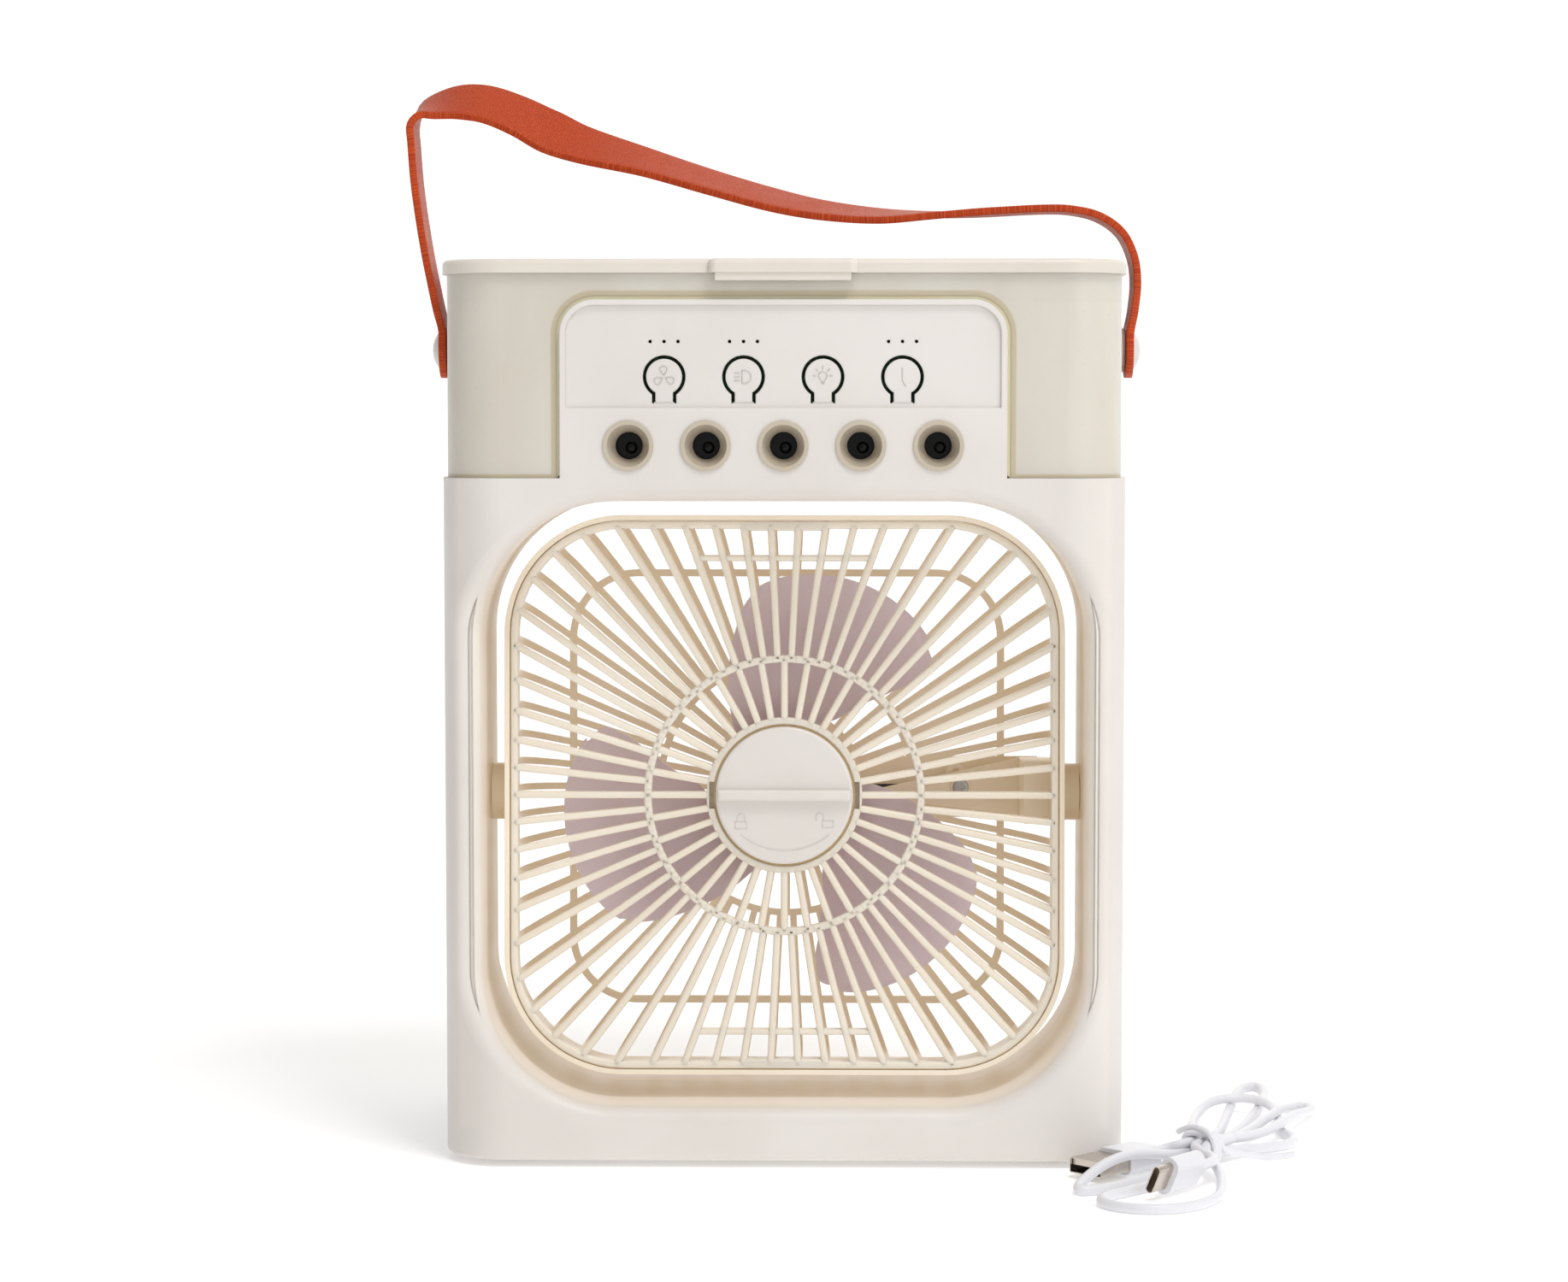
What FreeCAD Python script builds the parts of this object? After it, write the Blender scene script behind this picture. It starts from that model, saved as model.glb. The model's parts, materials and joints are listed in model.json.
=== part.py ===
import FreeCAD, Part

import math
import os

os.makedirs("parts", exist_ok=True)
V = FreeCAD.Vector
X, Y, Z = V(1, 0, 0), V(0, 1, 0), V(0, 0, 1)

# A desktop misting fan. Millimetres, +Z up, front towards -Y. The origin is on the surface
# that the fan stands on, in the middle of its four feet.

# ---- Housing: two shells that meet behind the front face -------------------------------
BODY_W, BODY_D = 199.0, 116.0
BODY_TOP = 200.5
FOOT_H = 2.0
WALL = 2.4
CORNER_R = 18.0
EDGE_R = 1.2
SPLIT_DEPTH = 45.0
TUNNEL_HALF_W, TUNNEL_HALF_H = 88.2, 88.4
TUNNEL_Z = 105.4
TUNNEL_R = 40.0
TUNNEL_WALL = 2.2
TUNNEL_LIP_R = 4.4
TUNNEL_STRAIGHT = 60.0
FLARE_SIDE, FLARE_FLOOR, FLARE_TOP = 6.0, 10.2, 1.0
SCREW_POSTS = [(93.0, 24.0), (90.0, 182.0)]
POST_R, SCREW_R, SCREW_HEAD_R = 3.6, 1.5, 2.6
SCREW_HOLE_L, SCREW_BITE, SCREW_HEAD_H = 14.0, 12.0, 2.0

FRONT = -BODY_D / 2
BACK = BODY_D / 2
SPLIT = FRONT + SPLIT_DEPTH
BODY_HALF = BODY_W / 2
DECK = BODY_TOP - WALL

# ---- Control panel, standing up from the front housing ---------------------------------
PANEL_HALF = 64.3
PANEL_TOP = 251.8
PANEL_R = 10.0
PANEL_DEPTH = 28.0
PANEL_WALL = 2.4
PANEL_RIM = 1.8
PANEL_SINK = 0.8
LEDGE_Z = 220.8
GROOVE = 0.9
BACK_PLATE = 2.0

BUTTON_X = [-34.2, -11.4, 11.4, 34.2]
BUTTON_NAMES = ["fan", "mist", "light", "timer"]
BUTTON_Z = 229.6
BUTTON_R = 5.15
SLOT = 1.0
TONGUE_HALF = 2.5
TONGUE_DROP = 7.6
ROOT_GAP = 0.15
RIB_R = 1.4
RIB_GAP = 0.1
DOT_R = 0.5
DOT_PITCH = 4.0
DOT_Z = 239.7
DOT_COLUMNS = [0, 1, 3]

NOZZLE_PITCH = 22.3
NOZZLES = 5
NOZZLE_Z = 209.8
NOZZLE_R = 7.3
NOZZLE_STEM_R = 6.6
NOZZLE_BORE_R = 3.95
NOZZLE_PROUD = 0.5
NOZZLE_DEPTH = 9.0
DISC_R, DISC_T = 8.0, 0.6
SEAL_R, SEAL_T = 8.8, 3.0
WICK_R = 4.0
WICK_SOCKET_L, WICK_SOCKET_WALL, WICK_SEAL_W = 14.0, 1.4, 2.2
DOME_R, DOME_H = 2.2, 0.5
WICK_CLEAR = 0.3

BOARD_T = 1.6
BOARD_GAP = 7.4
SWITCH_SIDE, SWITCH_H = 6.0, 3.5
STEM_R, STEM_CLEAR = 1.4, 0.4

# ---- Water tank, lid and strap ---------------------------------------------------------
TANK_INSET = 1.3
TANK_WALL = 2.0
TANK_TOP = 259.3
LID_T = 4.1
LID_SKIN = 2.0
LID_EDGE_R = 1.6
SKIRT_T = 1.6
SKIRT_GAP = 0.8
SKIRT_Z = 251.3
SEAL_GAP = 0.1
TAB_HALF, TAB_OUT, TAB_DROP = 21.5, 2.6, 2.2
HINGE_Y_OUT = 2.9
HINGE_DROP = 0.3
HINGE_R, HINGE_PIN_R = 2.3, 1.0
HINGE_X = 60.0
KNUCKLE_W = 9.0
RUN = 0.05

STUD_Z = 238.0
STUD_BOSS_R, STUD_BOSS_TIP_R = 11.5, 6.0
STUD_BOSS_OUT = 102.0
STUD_POST_R = 3.0
STUD_CAP_R, STUD_CAP_H = 6.0, 2.4
STUD_SINK = 0.8
STRAP_W, STRAP_T = 18.0, 2.2
STRAP_CLEAR = 0.15

# ---- Fan cage, in its own frame: the pivot is the origin --------------------------------
REST_TILT = -3.0
CAGE_HALF = 82.6
CAGE_R = 35.0
CAGE_FRONT, CAGE_BACK = -23.0, 30.0
CAGE_WALL = 1.5
CAGE_BACK_R = 12.0
CAGE_SOLID_TO = 8.0
GRILLE_GAP = 0.3
FRAME_W = 2.1
FRAME_DEPTH = 8.0
SPOKE_W, SPOKE_DEPTH = 1.8, 3.4
OUTER_SPOKES, INNER_SPOKES = 62, 36
HUB_IN_R, HUB_OUT_R = 20.9, 23.0
RING_R, RING_W = 40.3, 1.6
CHORD_Z, CHORD_HALF, CHORD_W = 70.0, 25.6, 1.5
CLIP_HALF, CLIP_T, CLIP_INSET = 12.5, 2.4, 0.3
CHORD_SET_BACK, CLIP_SET_BACK = 0.4, 0.2
HUB_PLATE_T = 1.5
NOTCH_HALF, NOTCH_DEPTH = 4.0, 1.3
REAR_SPOKE_W, REAR_T = 2.0, 2.0
REAR_RING_R = 39.0
REAR_SQUARE_HALF, REAR_SQUARE_W, REAR_SQUARE_R = 67.0, 2.2, 21.0
MOUNT_R = 24.0
CAP_R, CAP_PROUD = 20.3, 1.2
RIDGE_W, RIDGE_H = 3.4, 2.2
CAP_POST_R = 3.45

MOTOR_R, MOTOR_WALL = 14.5, 1.0
MOTOR_FRONT, MOTOR_BACK = 6.0, 26.0
BEARING_R, BEARING_W = 4.0, 3.0
SHAFT_R = 1.5
ROTOR_R, STATOR_R = 10.4, 11.2
IMPELLER_R, IMPELLER_HUB_R = 66.6, 22.0
HUB_FRONT, HUB_BACK = -14.0, 3.0
HUB_SKIN = 1.6
BLADES = 3
BLADE_T = 1.8

TRUNNION_R, TRUNNION_SHAFT_R, TRUNNION_BORE_R = 8.5, 4.5, 2.6
TRUNNION_GAP = 0.3
BUSH_R, BUSH_FLANGE_R, BUSH_FLANGE_T = 6.0, 8.0, 1.4
BUSH_END = 92.4
LEAD_R = 0.9
LEAD_SPLIT = 0.4
DUCT_HALF, DUCT_DEPTH, DUCT_WALL = 9.4, 5.0, 1.2

# ---- USB socket and the loose lead on the floor -----------------------------------------
SOCKET_X, SOCKET_Z = 86.0, 12.5
SOCKET_W, SOCKET_H, SOCKET_L = 8.94, 3.16, 7.5
FOOT_R, FOOT_X, FOOT_Y = 8.0, 78.5, 40.0
FOOT_EDGE_R = 0.5


# ---- Helpers ---------------------------------------------------------------------------
def rounded_wire(x0, x1, y0, y1, r, at):
    """A rounded rectangle; at(u, v) turns its two coordinates into a point."""
    k = r * (1 - math.sqrt(0.5))
    edges = []
    corners = [(x1, y1, -1, -1), (x0, y1, 1, -1), (x0, y0, 1, 1), (x1, y0, -1, 1)]
    ends = []
    for number, (cx, cy, sx, sy) in enumerate(corners):
        along_y = at(cx, cy + sy * r)
        along_x = at(cx + sx * r, cy)
        start, end = (along_y, along_x) if number % 2 == 0 else (along_x, along_y)
        ends.append((start, at(cx + sx * k, cy + sy * k), end))
    for number, (start, middle, end) in enumerate(ends):
        edges.append(Part.Arc(start, middle, end).toShape())
        edges.append(Part.LineSegment(end, ends[(number + 1) % 4][0]).toShape())
    return Part.Wire(edges)


def plan_prism(half, y0, y1, r, z0, z1):
    """A block with its four upright edges rounded."""
    wire = rounded_wire(-half, half, y0, y1, r, lambda u, v: V(u, v, z0))
    return Part.Face(wire).extrude(V(0, 0, z1 - z0))


def tunnel_prism(half_w, z_low, z_high, r, y0, y1):
    """A block with a rounded-square outline seen from the front."""
    wire = rounded_wire(-half_w, half_w, z_low, z_high, r, lambda u, v: V(u, y0, v))
    return Part.Face(wire).extrude(V(0, y1 - y0, 0))


def box(x0, x1, y0, y1, z0, z1):
    return Part.makeBox(x1 - x0, y1 - y0, z1 - z0, V(x0, y0, z0))


def rod_y(r, y0, y1, x=0.0, z=0.0):
    return Part.makeCylinder(r, y1 - y0, V(x, y0, z), Y)


def rod_x(r, x0, x1, y=0.0, z=0.0):
    return Part.makeCylinder(r, x1 - x0, V(x0, y, z), X)


def rod_z(r, z0, z1, x=0.0, y=0.0):
    return Part.makeCylinder(r, z1 - z0, V(x, y, z0), Z)


def tube_y(r_out, r_in, y0, y1, x=0.0, z=0.0):
    return rod_y(r_out, y0, y1, x, z).cut(rod_y(r_in, y0, y1, x, z))


def fillet(shape, r, wanted):
    """Rounds the edges of which both ends and the middle satisfy wanted(point)."""
    edges = []
    for edge in shape.Edges:
        middle = edge.valueAt((edge.FirstParameter + edge.LastParameter) / 2)
        points = [v.Point for v in edge.Vertexes] + [middle]
        if all(wanted(p) for p in points):
            edges.append(edge)
    return shape.makeFillet(r, edges)


def fuse(shapes):
    return shapes[0].multiFuse(shapes[1:]).removeSplitter() if len(shapes) > 1 else shapes[0]


def mirror_x(shape):
    return shape.mirror(V(0, 0, 0), X)


def wire_through(points, bend):
    """Straight runs through the points, joined by tangent arcs of one radius."""
    edges = []
    last = points[0]
    for before, corner, after in zip(points, points[1:], points[2:]):
        a, b = (before - corner).normalize(), (after - corner).normalize()
        half_angle = a.getAngle(b) / 2
        reach = bend / math.tan(half_angle)
        start, end = corner + a * reach, corner + b * reach
        toward = (a + b).normalize()
        middle = corner + toward * (bend / math.sin(half_angle) - bend)
        edges.append(Part.LineSegment(last, start).toShape())
        edges.append(Part.Arc(start, middle, end).toShape())
        last = end
    edges.append(Part.LineSegment(last, points[-1]).toShape())
    return Part.Wire(edges)


def lead(points, r, bend):
    """A round lead along straight runs and arcs."""
    path = wire_through(points, bend)
    ring = Part.Wire([Part.Circle(points[0], points[1] - points[0], r).toShape()])
    return path.makePipeShell([ring], True, False)


def seat_cage(shape):
    """From the cage's own frame to its place in the tunnel, at the tilt that it rests at."""
    shape = shape.copy()
    shape.rotate(V(0, 0, 0), X, REST_TILT)
    shape.translate(V(0, SPLIT, TUNNEL_Z))
    return shape


def save(name, shape):
    solids = shape.Solids
    bad = [s for s in solids if not s.isValid() or s.Volume <= 0]
    print(f"{name:22s} solids {len(solids):3d}  volume {shape.Volume / 1000:9.2f} cm3",
          "BAD" if bad or not solids else "")
    shape = solids[0] if len(solids) == 1 else Part.makeCompound(solids)
    shape.exportStep(f"parts/{name}.step")


# ---- Housing ---------------------------------------------------------------------------
def tunnel_space(grow):
    """The space of the through tunnel, grown by a wall: straight, then flared to the back."""
    low, high = TUNNEL_Z - TUNNEL_HALF_H - grow, TUNNEL_Z + TUNNEL_HALF_H + grow
    half, r = TUNNEL_HALF_W + grow, TUNNEL_R + grow
    y_flare = FRONT + TUNNEL_STRAIGHT
    straight = tunnel_prism(half, low, high, r, FRONT, y_flare)
    mouth = [
        rounded_wire(-half, half, low, high, r, lambda u, v: V(u, y_flare, v)),
        rounded_wire(-half - FLARE_SIDE, half + FLARE_SIDE, low - FLARE_FLOOR, high + FLARE_TOP,
                     r + FLARE_SIDE, lambda u, v: V(u, BACK, v)),
    ]
    return straight.fuse(Part.makeLoft(mouth, True, True)).removeSplitter()


def nozzle_places():
    middle = (NOZZLES - 1) / 2
    return [(number - middle) * NOZZLE_PITCH for number in range(NOZZLES)]


def panel_prism(half, top, r, y0, y1, bottom):
    """The panel's outline: square at the foot, rounded at its two upper corners."""
    k = r * (1 - math.sqrt(0.5))
    p = [V(-half, y0, bottom), V(-half, y0, top - r), V(-half + r, y0, top),
         V(half - r, y0, top), V(half, y0, top - r), V(half, y0, bottom)]
    edges = [
        Part.LineSegment(p[0], p[1]).toShape(),
        Part.Arc(p[1], V(-half + k, y0, top - k), p[2]).toShape(),
        Part.LineSegment(p[2], p[3]).toShape(),
        Part.Arc(p[3], V(half - k, y0, top - k), p[4]).toShape(),
        Part.LineSegment(p[4], p[5]).toShape(),
        Part.LineSegment(p[5], p[0]).toShape(),
    ]
    return Part.Face(Part.Wire(edges)).extrude(V(0, y1 - y0, 0))


FACE = FRONT + PANEL_SINK
PANEL_INNER = FRONT + PANEL_WALL
ROOT_Z = BUTTON_Z - TONGUE_DROP


def button_outline(x, grow, y0, y1):
    """A disc with a tongue below it, grown all round by the slot's width."""
    disc = rod_y(BUTTON_R + grow, y0, y1, x, BUTTON_Z)
    tongue = box(x - TONGUE_HALF - grow, x + TONGUE_HALF + grow, y0, y1, ROOT_Z, BUTTON_Z)
    return disc.fuse(tongue)


def housing():
    outer = plan_prism(BODY_HALF, FRONT, BACK, CORNER_R, FOOT_H, BODY_TOP)
    outer = fillet(outer, EDGE_R, lambda p: p.z < FOOT_H + 0.01)
    inner = plan_prism(BODY_HALF - WALL, FRONT + WALL, BACK - WALL, CORNER_R - WALL,
                       FOOT_H + WALL, DECK)
    body = outer.cut(inner).fuse(tunnel_space(TUNNEL_WALL).common(outer))

    # The panel is an open box on the deck; the deck is cut away below it.
    panel_back = FRONT + PANEL_DEPTH
    panel = panel_prism(PANEL_HALF, PANEL_TOP, PANEL_R, FRONT, panel_back, DECK)
    hollow = panel_prism(PANEL_HALF - PANEL_WALL, PANEL_TOP - PANEL_WALL, PANEL_R - PANEL_WALL,
                         PANEL_INNER, panel_back, BODY_TOP)
    body = body.fuse(panel).cut(hollow)

    # The socket's pocket at the back, in the lower corner beside the tunnel.
    block = box(SOCKET_X - 9, SOCKET_X + 9, BACK - 14, BACK, FOOT_H + WALL, SOCKET_Z + 6)
    body = body.fuse(block.common(outer)).cut(tunnel_space(0))
    pocket = box(SOCKET_X - 7, SOCKET_X + 7, BACK - 5, BACK + 1, SOCKET_Z - 3.6, SOCKET_Z + 3.6)
    hole = box(SOCKET_X - SOCKET_W / 2, SOCKET_X + SOCKET_W / 2, BACK - 20, BACK,
               SOCKET_Z - SOCKET_H / 2, SOCKET_Z + SOCKET_H / 2)
    body = body.cut(pocket).cut(hole)

    # Seats for the pivot bushes, half in each shell.
    for side in (-1, 1):
        seat = rod_x(BUSH_R, TUNNEL_HALF_W - 2, BUSH_END + 1, SPLIT, TUNNEL_Z)
        body = body.cut(seat if side > 0 else mirror_x(seat))
    lead_way = rod_z(LEAD_R + 0.4, DECK - 1, BODY_TOP + 1, LEAD_UP_X, LEAD_UP_Y)
    body = body.cut(lead_way)
    body = body.removeSplitter()

    def on_lip(p):
        over_x = max(abs(p.x) - TUNNEL_HALF_W + TUNNEL_R, 0)
        over_z = max(abs(p.z - TUNNEL_Z) - TUNNEL_HALF_H + TUNNEL_R, 0)
        return p.y < FRONT + CORNER_R / 3 and abs(math.hypot(over_x, over_z) - TUNNEL_R) < 0.02

    return fillet(body, TUNNEL_LIP_R, on_lip)


LEAD_UP_X, LEAD_UP_Y = 58.0, FRONT + 12.0


def front_details():
    """What is cut out of the front shell: the sunk face, buttons, dots and nozzle holes."""
    cuts = []
    r = PANEL_R - PANEL_RIM
    sunk = panel_prism(PANEL_HALF - PANEL_RIM, PANEL_TOP - PANEL_RIM, r, FRONT - 1, FACE, LEDGE_Z)
    cuts.append(sunk)
    for x in BUTTON_X:
        cuts.append(button_outline(x, SLOT, FRONT - 1, PANEL_INNER + 1))
    for column in DOT_COLUMNS:
        for step in (-1, 0, 1):
            x = BUTTON_X[column] + step * DOT_PITCH
            cuts.append(rod_y(DOT_R, FRONT - 1, PANEL_INNER + 1, x, DOT_Z))
    for x in nozzle_places():
        cuts.append(rod_y(NOZZLE_STEM_R, FRONT - 1, PANEL_INNER + 1, x, NOZZLE_Z))
    return cuts


def screw_places():
    """Where the shells are screwed together, in the four corners beside the tunnel."""
    return [(side * x, z) for side in (-1, 1) for x, z in SCREW_POSTS]


def make_housing():
    body = housing()
    front_half = box(-150, 150, FRONT - 5, SPLIT, -5, 300)
    rear_half = box(-150, 150, SPLIT, BACK + 5, -5, 300)
    front = body.common(front_half)
    rear = body.common(rear_half)
    for cut in front_details():
        front = front.cut(cut)
    inside = plan_prism(BODY_HALF - WALL / 2, FRONT + WALL / 2, BACK - WALL / 2,
                        CORNER_R - WALL / 2, FOOT_H + WALL, DECK)
    seat_y = SPLIT + 6.0
    screws = []
    for x, z in screw_places():
        post = rod_y(POST_R, FRONT, SPLIT, x, z).common(inside)
        front = front.fuse(post).cut(rod_y(SCREW_R, SPLIT - SCREW_HOLE_L, SPLIT, x, z))
        rear_post = rod_y(POST_R, SPLIT, BACK, x, z).common(inside)
        rear = rear.fuse(rear_post).cut(rod_y(SCREW_R + 0.2, SPLIT, seat_y, x, z))
        rear = rear.cut(rod_y(SCREW_HEAD_R + 0.2, seat_y, BACK + 1, x, z))
        shank = rod_y(SCREW_R, SPLIT - SCREW_BITE, seat_y, x, z)
        head = rod_y(SCREW_HEAD_R, seat_y, seat_y + SCREW_HEAD_H, x, z)
        slot = box(x - 0.4, x + 0.4, seat_y + 1.2, seat_y + 3, z - 1.8, z + 1.8)
        screws.append(shank.fuse(head).cut(slot))
    save("front_housing", front.removeSplitter())
    save("rear_housing", rear.removeSplitter())
    save("housing_screws", Part.makeCompound(screws))

    feet = []
    for x in (-FOOT_X, FOOT_X):
        for y in (-FOOT_Y, FOOT_Y):
            foot = rod_z(FOOT_R, 0, FOOT_H, x, y)
            feet.append(fillet(foot, FOOT_EDGE_R, lambda p: p.z < 0.01))
    save("rubber_feet", Part.makeCompound(feet))


# ---- Panel parts -----------------------------------------------------------------------
BOARD_Y = FRONT + BOARD_GAP + SWITCH_H
STEM_FACE = BOARD_Y - SWITCH_H - 0.8


def make_panel():
    for number, x in enumerate(nozzle_places()):
        y0 = FRONT - NOZZLE_PROUD
        y_end = FRONT + NOZZLE_DEPTH
        cap = rod_y(NOZZLE_R, y0, FRONT, x, NOZZLE_Z).fuse(
            rod_y(NOZZLE_STEM_R, FRONT, y_end, x, NOZZLE_Z))
        cone_depth = NOZZLE_DEPTH - 2.0
        cone = Part.makeCone(NOZZLE_R - 1.2, NOZZLE_BORE_R, cone_depth, V(x, y0, NOZZLE_Z), Y)
        cap = cap.cut(cone).cut(rod_y(NOZZLE_BORE_R, y0, y_end, x, NOZZLE_Z))
        save(f"nozzle_cap_{number + 1}", cap)

    seal_y = FRONT + NOZZLE_DEPTH
    disc_y = seal_y + (SEAL_T - DISC_T) / 2
    discs, seals, wicks, wick_seals = [], [], [], []
    wick_front = disc_y + DISC_T + 0.2
    plate_y = FRONT + PANEL_DEPTH
    tank_y = TANK_BAY_Y
    for x in nozzle_places():
        disc = rod_y(DISC_R, disc_y, disc_y + DISC_T, x, NOZZLE_Z)
        dome = rod_y(DOME_R, disc_y - DOME_H, disc_y, x, NOZZLE_Z)
        discs.append(disc.fuse(dome).cut(rod_y(DOME_R - 0.7, disc_y - DOME_H, disc_y - 0.2, x, NOZZLE_Z)))
        ring = tube_y(SEAL_R, DISC_R - 2.5, seal_y, seal_y + SEAL_T, x, NOZZLE_Z)
        seals.append(ring.cut(disc))
        wicks.append(rod_y(WICK_R, wick_front, tank_y + TANK_WALL + WICK_SOCKET_L, x, NOZZLE_Z))
        wick_seals.append(tube_y(WICK_R + WICK_SEAL_W, WICK_R + 0.02, plate_y + BACK_PLATE, tank_y,
                                 x, NOZZLE_Z))
    save("mist_discs", Part.makeCompound(discs))
    save("disc_seals", Part.makeCompound(seals))
    save("wicks", Part.makeCompound(wicks))
    save("wick_seals", Part.makeCompound(wick_seals))

    plate = panel_prism(PANEL_HALF, PANEL_TOP, PANEL_R, plate_y, plate_y + BACK_PLATE, BODY_TOP)
    for x in nozzle_places():
        plate = plate.cut(rod_y(WICK_R + WICK_CLEAR, plate_y, plate_y + BACK_PLATE, x, NOZZLE_Z))
    save("panel_back", plate)

    board_half = PANEL_HALF - PANEL_WALL - 1.0
    board = box(-board_half, board_half, BOARD_Y, BOARD_Y + BOARD_T,
                NOZZLE_Z + SEAL_R + 0.4, PANEL_TOP - PANEL_WALL - PANEL_R / 2)
    save("control_board", board)
    switches, leds = [], []
    for name, x in zip(BUTTON_NAMES, BUTTON_X):
        half = SWITCH_SIDE / 2
        body = box(x - half, x + half, BOARD_Y - SWITCH_H, BOARD_Y, BUTTON_Z - half, BUTTON_Z + half)
        switches.append(body.cut(rod_y(STEM_R + STEM_CLEAR, BOARD_Y - SWITCH_H, BOARD_Y - 1,
                                       x, BUTTON_Z)))
        button = button_outline(x, 0, FACE, PANEL_INNER).cut(
            box(x - 10, x + 10, FACE - 1, PANEL_INNER + 1, ROOT_Z - 1, ROOT_Z + ROOT_GAP))
        rib = rod_y(RIB_R, PANEL_INNER - 0.5, STEM_FACE - RIB_GAP, x, BUTTON_Z)
        save(f"button_{name}", button.fuse(rib).removeSplitter())
        save(f"switch_stem_{name}", rod_y(STEM_R, STEM_FACE, BOARD_Y - 2.2, x, BUTTON_Z))
    for column in DOT_COLUMNS:
        for step in (-1, 0, 1):
            x = BUTTON_X[column] + step * DOT_PITCH
            leds.append(box(x - 0.8, x + 0.8, BOARD_Y - 0.8, BOARD_Y, DOT_Z - 0.4, DOT_Z + 0.4))
    save("switch_bodies", Part.makeCompound(switches))
    save("indicator_leds", Part.makeCompound(leds))

    strip = box(-45, 45, plate_y - 1.6, plate_y, 226, 234)
    lamps = [box(x - 1.8, x + 1.8, plate_y - 3.0, plate_y - 1.6, 228.2, 231.8)
             for x in (-36, -18, 0, 18, 36)]
    save("tank_light", fuse([strip] + lamps))


# ---- Tank, lid, studs ------------------------------------------------------------------
TANK_HALF = BODY_HALF - TANK_INSET
TANK_FRONT, TANK_REAR = FRONT + TANK_INSET, BACK - TANK_INSET
TANK_R = CORNER_R - TANK_INSET
TANK_BAY_Y = FRONT + PANEL_DEPTH + BACK_PLATE + 1.5
HINGE_Y = TANK_REAR + HINGE_Y_OUT
HINGE_Z = TANK_TOP - HINGE_DROP


def knuckles(first):
    """The places of one side's knuckles along X: the tank has the middle, the lid the ends."""
    gap = 0.3
    places = []
    for side in (-1, 1):
        if first == "tank":
            spans = [(-KNUCKLE_W / 2, KNUCKLE_W / 2)]
        else:
            spans = [(-1.5 * KNUCKLE_W, -KNUCKLE_W / 2 - gap), (KNUCKLE_W / 2 + gap, 1.5 * KNUCKLE_W)]
        places += [(side * HINGE_X + low, side * HINGE_X + high) for low, high in spans]
    return places


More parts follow.
